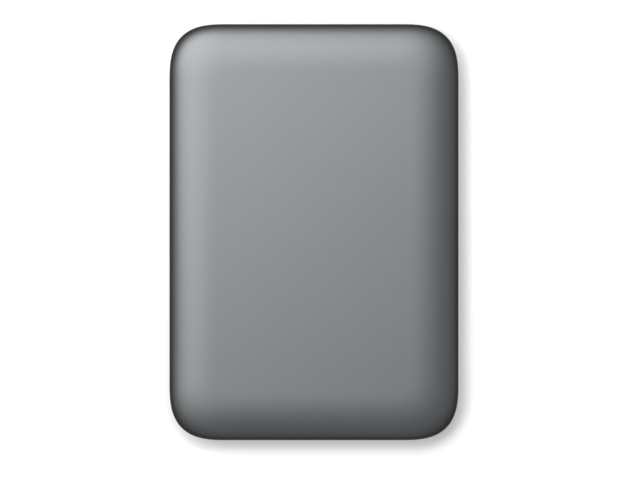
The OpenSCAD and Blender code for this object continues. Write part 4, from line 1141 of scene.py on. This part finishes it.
# The upper pads
# Four squares of soft foam glued to the drive's cover, pressed a little by crosses that
# hang from the upper shell.

soften(foam, "housing", "foam", ("foam_pads", "top_pads", 0.30 * mm))


# The upper shell
# The pillowed cover, moulded in ABS and sprayed with satin grey metallic paint. Its long
# roll-off runs into a flat face, and its snap arms hang inside the walls.

crown_roll = np.array([11.8, 5.6]) * mm
crown_skin_roll = np.array([13.6, 5.6]) * mm
crown_skin_power = 2.35
crown_high = 15.0 * mm
crown_start = crown_high - crown_roll[1]
ceiling = crown_high - wall
upper_profile = np.concatenate(
    [
        roll_off(crown_skin_roll, crown_start, 1, 0, 72, crown_skin_power)[::-1],
        eased(
            [
                (0, crown_start - 0.3 * mm),
                (0, seam + half_seam_gap),
                (wall / 2, seam + half_seam_gap),
                (wall / 2, seam + lip_height + lip_gap),
                (wall, seam + lip_height + lip_gap),
                (wall, crown_start + 0.05 * mm),
            ],
            0.12 * mm,
        )[:-1],
        roll_off(crown_roll, crown_start, 1, wall, 40),
    ]
)
upper_rings = case_rings(upper_profile[::-1], 48)
upper_shell = new_mesh("upper_shell", upper_rings, tube_faces(*upper_rings.shape[:2]), 35)
cut(upper_shell, port_openings)

arm_gap, arm_thickness = 0.15 * mm, 1.0 * mm
arm_out = -wall - arm_gap
arm_in = arm_out - arm_thickness
arms = blocks(
    *around_case(
        (arm_in, -snap_width / 2, seam - snap_drop), (arm_out, snap_width / 2, ceiling - 1.8 * mm)
    )
)
hooks = blocks(
    *around_case(
        (arm_in, -snap_width / 2, seam - snap_drop + 0.2 * mm),
        (arm_out + snap_hold, snap_width / 2, seam - snap_drop + 1.1 * mm),
    )
)
ceiling_sunk = ceiling + 0.3 * mm
pad_low, pad_high = (np.array(corner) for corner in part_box("top_pads"))
pad_half = 5 * mm
press_x = pad_high[0] - pad_half
press_y = pad_low[1] + pad_half, pad_high[1] - pad_half
presses = [
    (x - w, x + w, y - l, y + l, ceiling - 0.95 * mm, ceiling_sunk)
    for x in (-press_x, press_x) for y in press_y for w, l in cross
]
ceiling_side, ceiling_end = half_case - np.array([15, 19]) * mm
hung_low = ceiling - 0.8 * mm
ceiling_ribs = [
    (x - rib_half, x + rib_half, -ceiling_end, ceiling_end, hung_low, ceiling_sunk)
    for x in (-9 * mm, 9 * mm)
] + [
    (-ceiling_side, ceiling_side, y - rib_half, y + rib_half, hung_low, ceiling_sunk)
    for y in (-24 * mm, 0, 24 * mm)
]
hung = np.array(presses + ceiling_ribs)
merged(upper_shell, [arms, hooks, blocks(hung[:, 0::2], hung[:, 1::2])], 35)

shell_paint, tree, shader, spot, tone = finish(
    "shell_paint",
    ((0.249, 0.259, 0.262), (0.255, 0.266, 0.269)),
    size=25, metallic=0.80, rough=(0.49, 0.507), grains=((900, 0.4, 1.2e-6), (9000, 0.6, 4e-7)),
    **{"Specular Tint": (0.5, 0.5, 0.5, 1)},
)
# painted shade: below the face, the paint's colour fades to near black down the roll-off, standing in for the
# shade on the steep sides
painted_side_shade = (0.028, 0.029, 0.030, 1)
painted_shade_low, painted_shade_high = 11.4 * mm, 13.65 * mm
height = node(tree, "SeparateXYZ", {0: spot}).outputs["Z"]
painted_shade_fade = node(
    tree,
    "MapRange",
    {"Value": height, "From Min": painted_shade_low, "From Max": painted_shade_high},
    interpolation_type="SMOOTHSTEP",
)
face_tone = tone.outputs["Color"]
paint_and_painted_shade = node(
    tree, "MixRGB", {"Fac": painted_shade_fade.outputs[0], "Color1": painted_side_shade, "Color2": face_tone}
)
tree.links.new(paint_and_painted_shade.outputs[0], shader.inputs["Base Color"])
clad(upper_shell, shell_paint, "housing", "shell_paint", "top_cover")
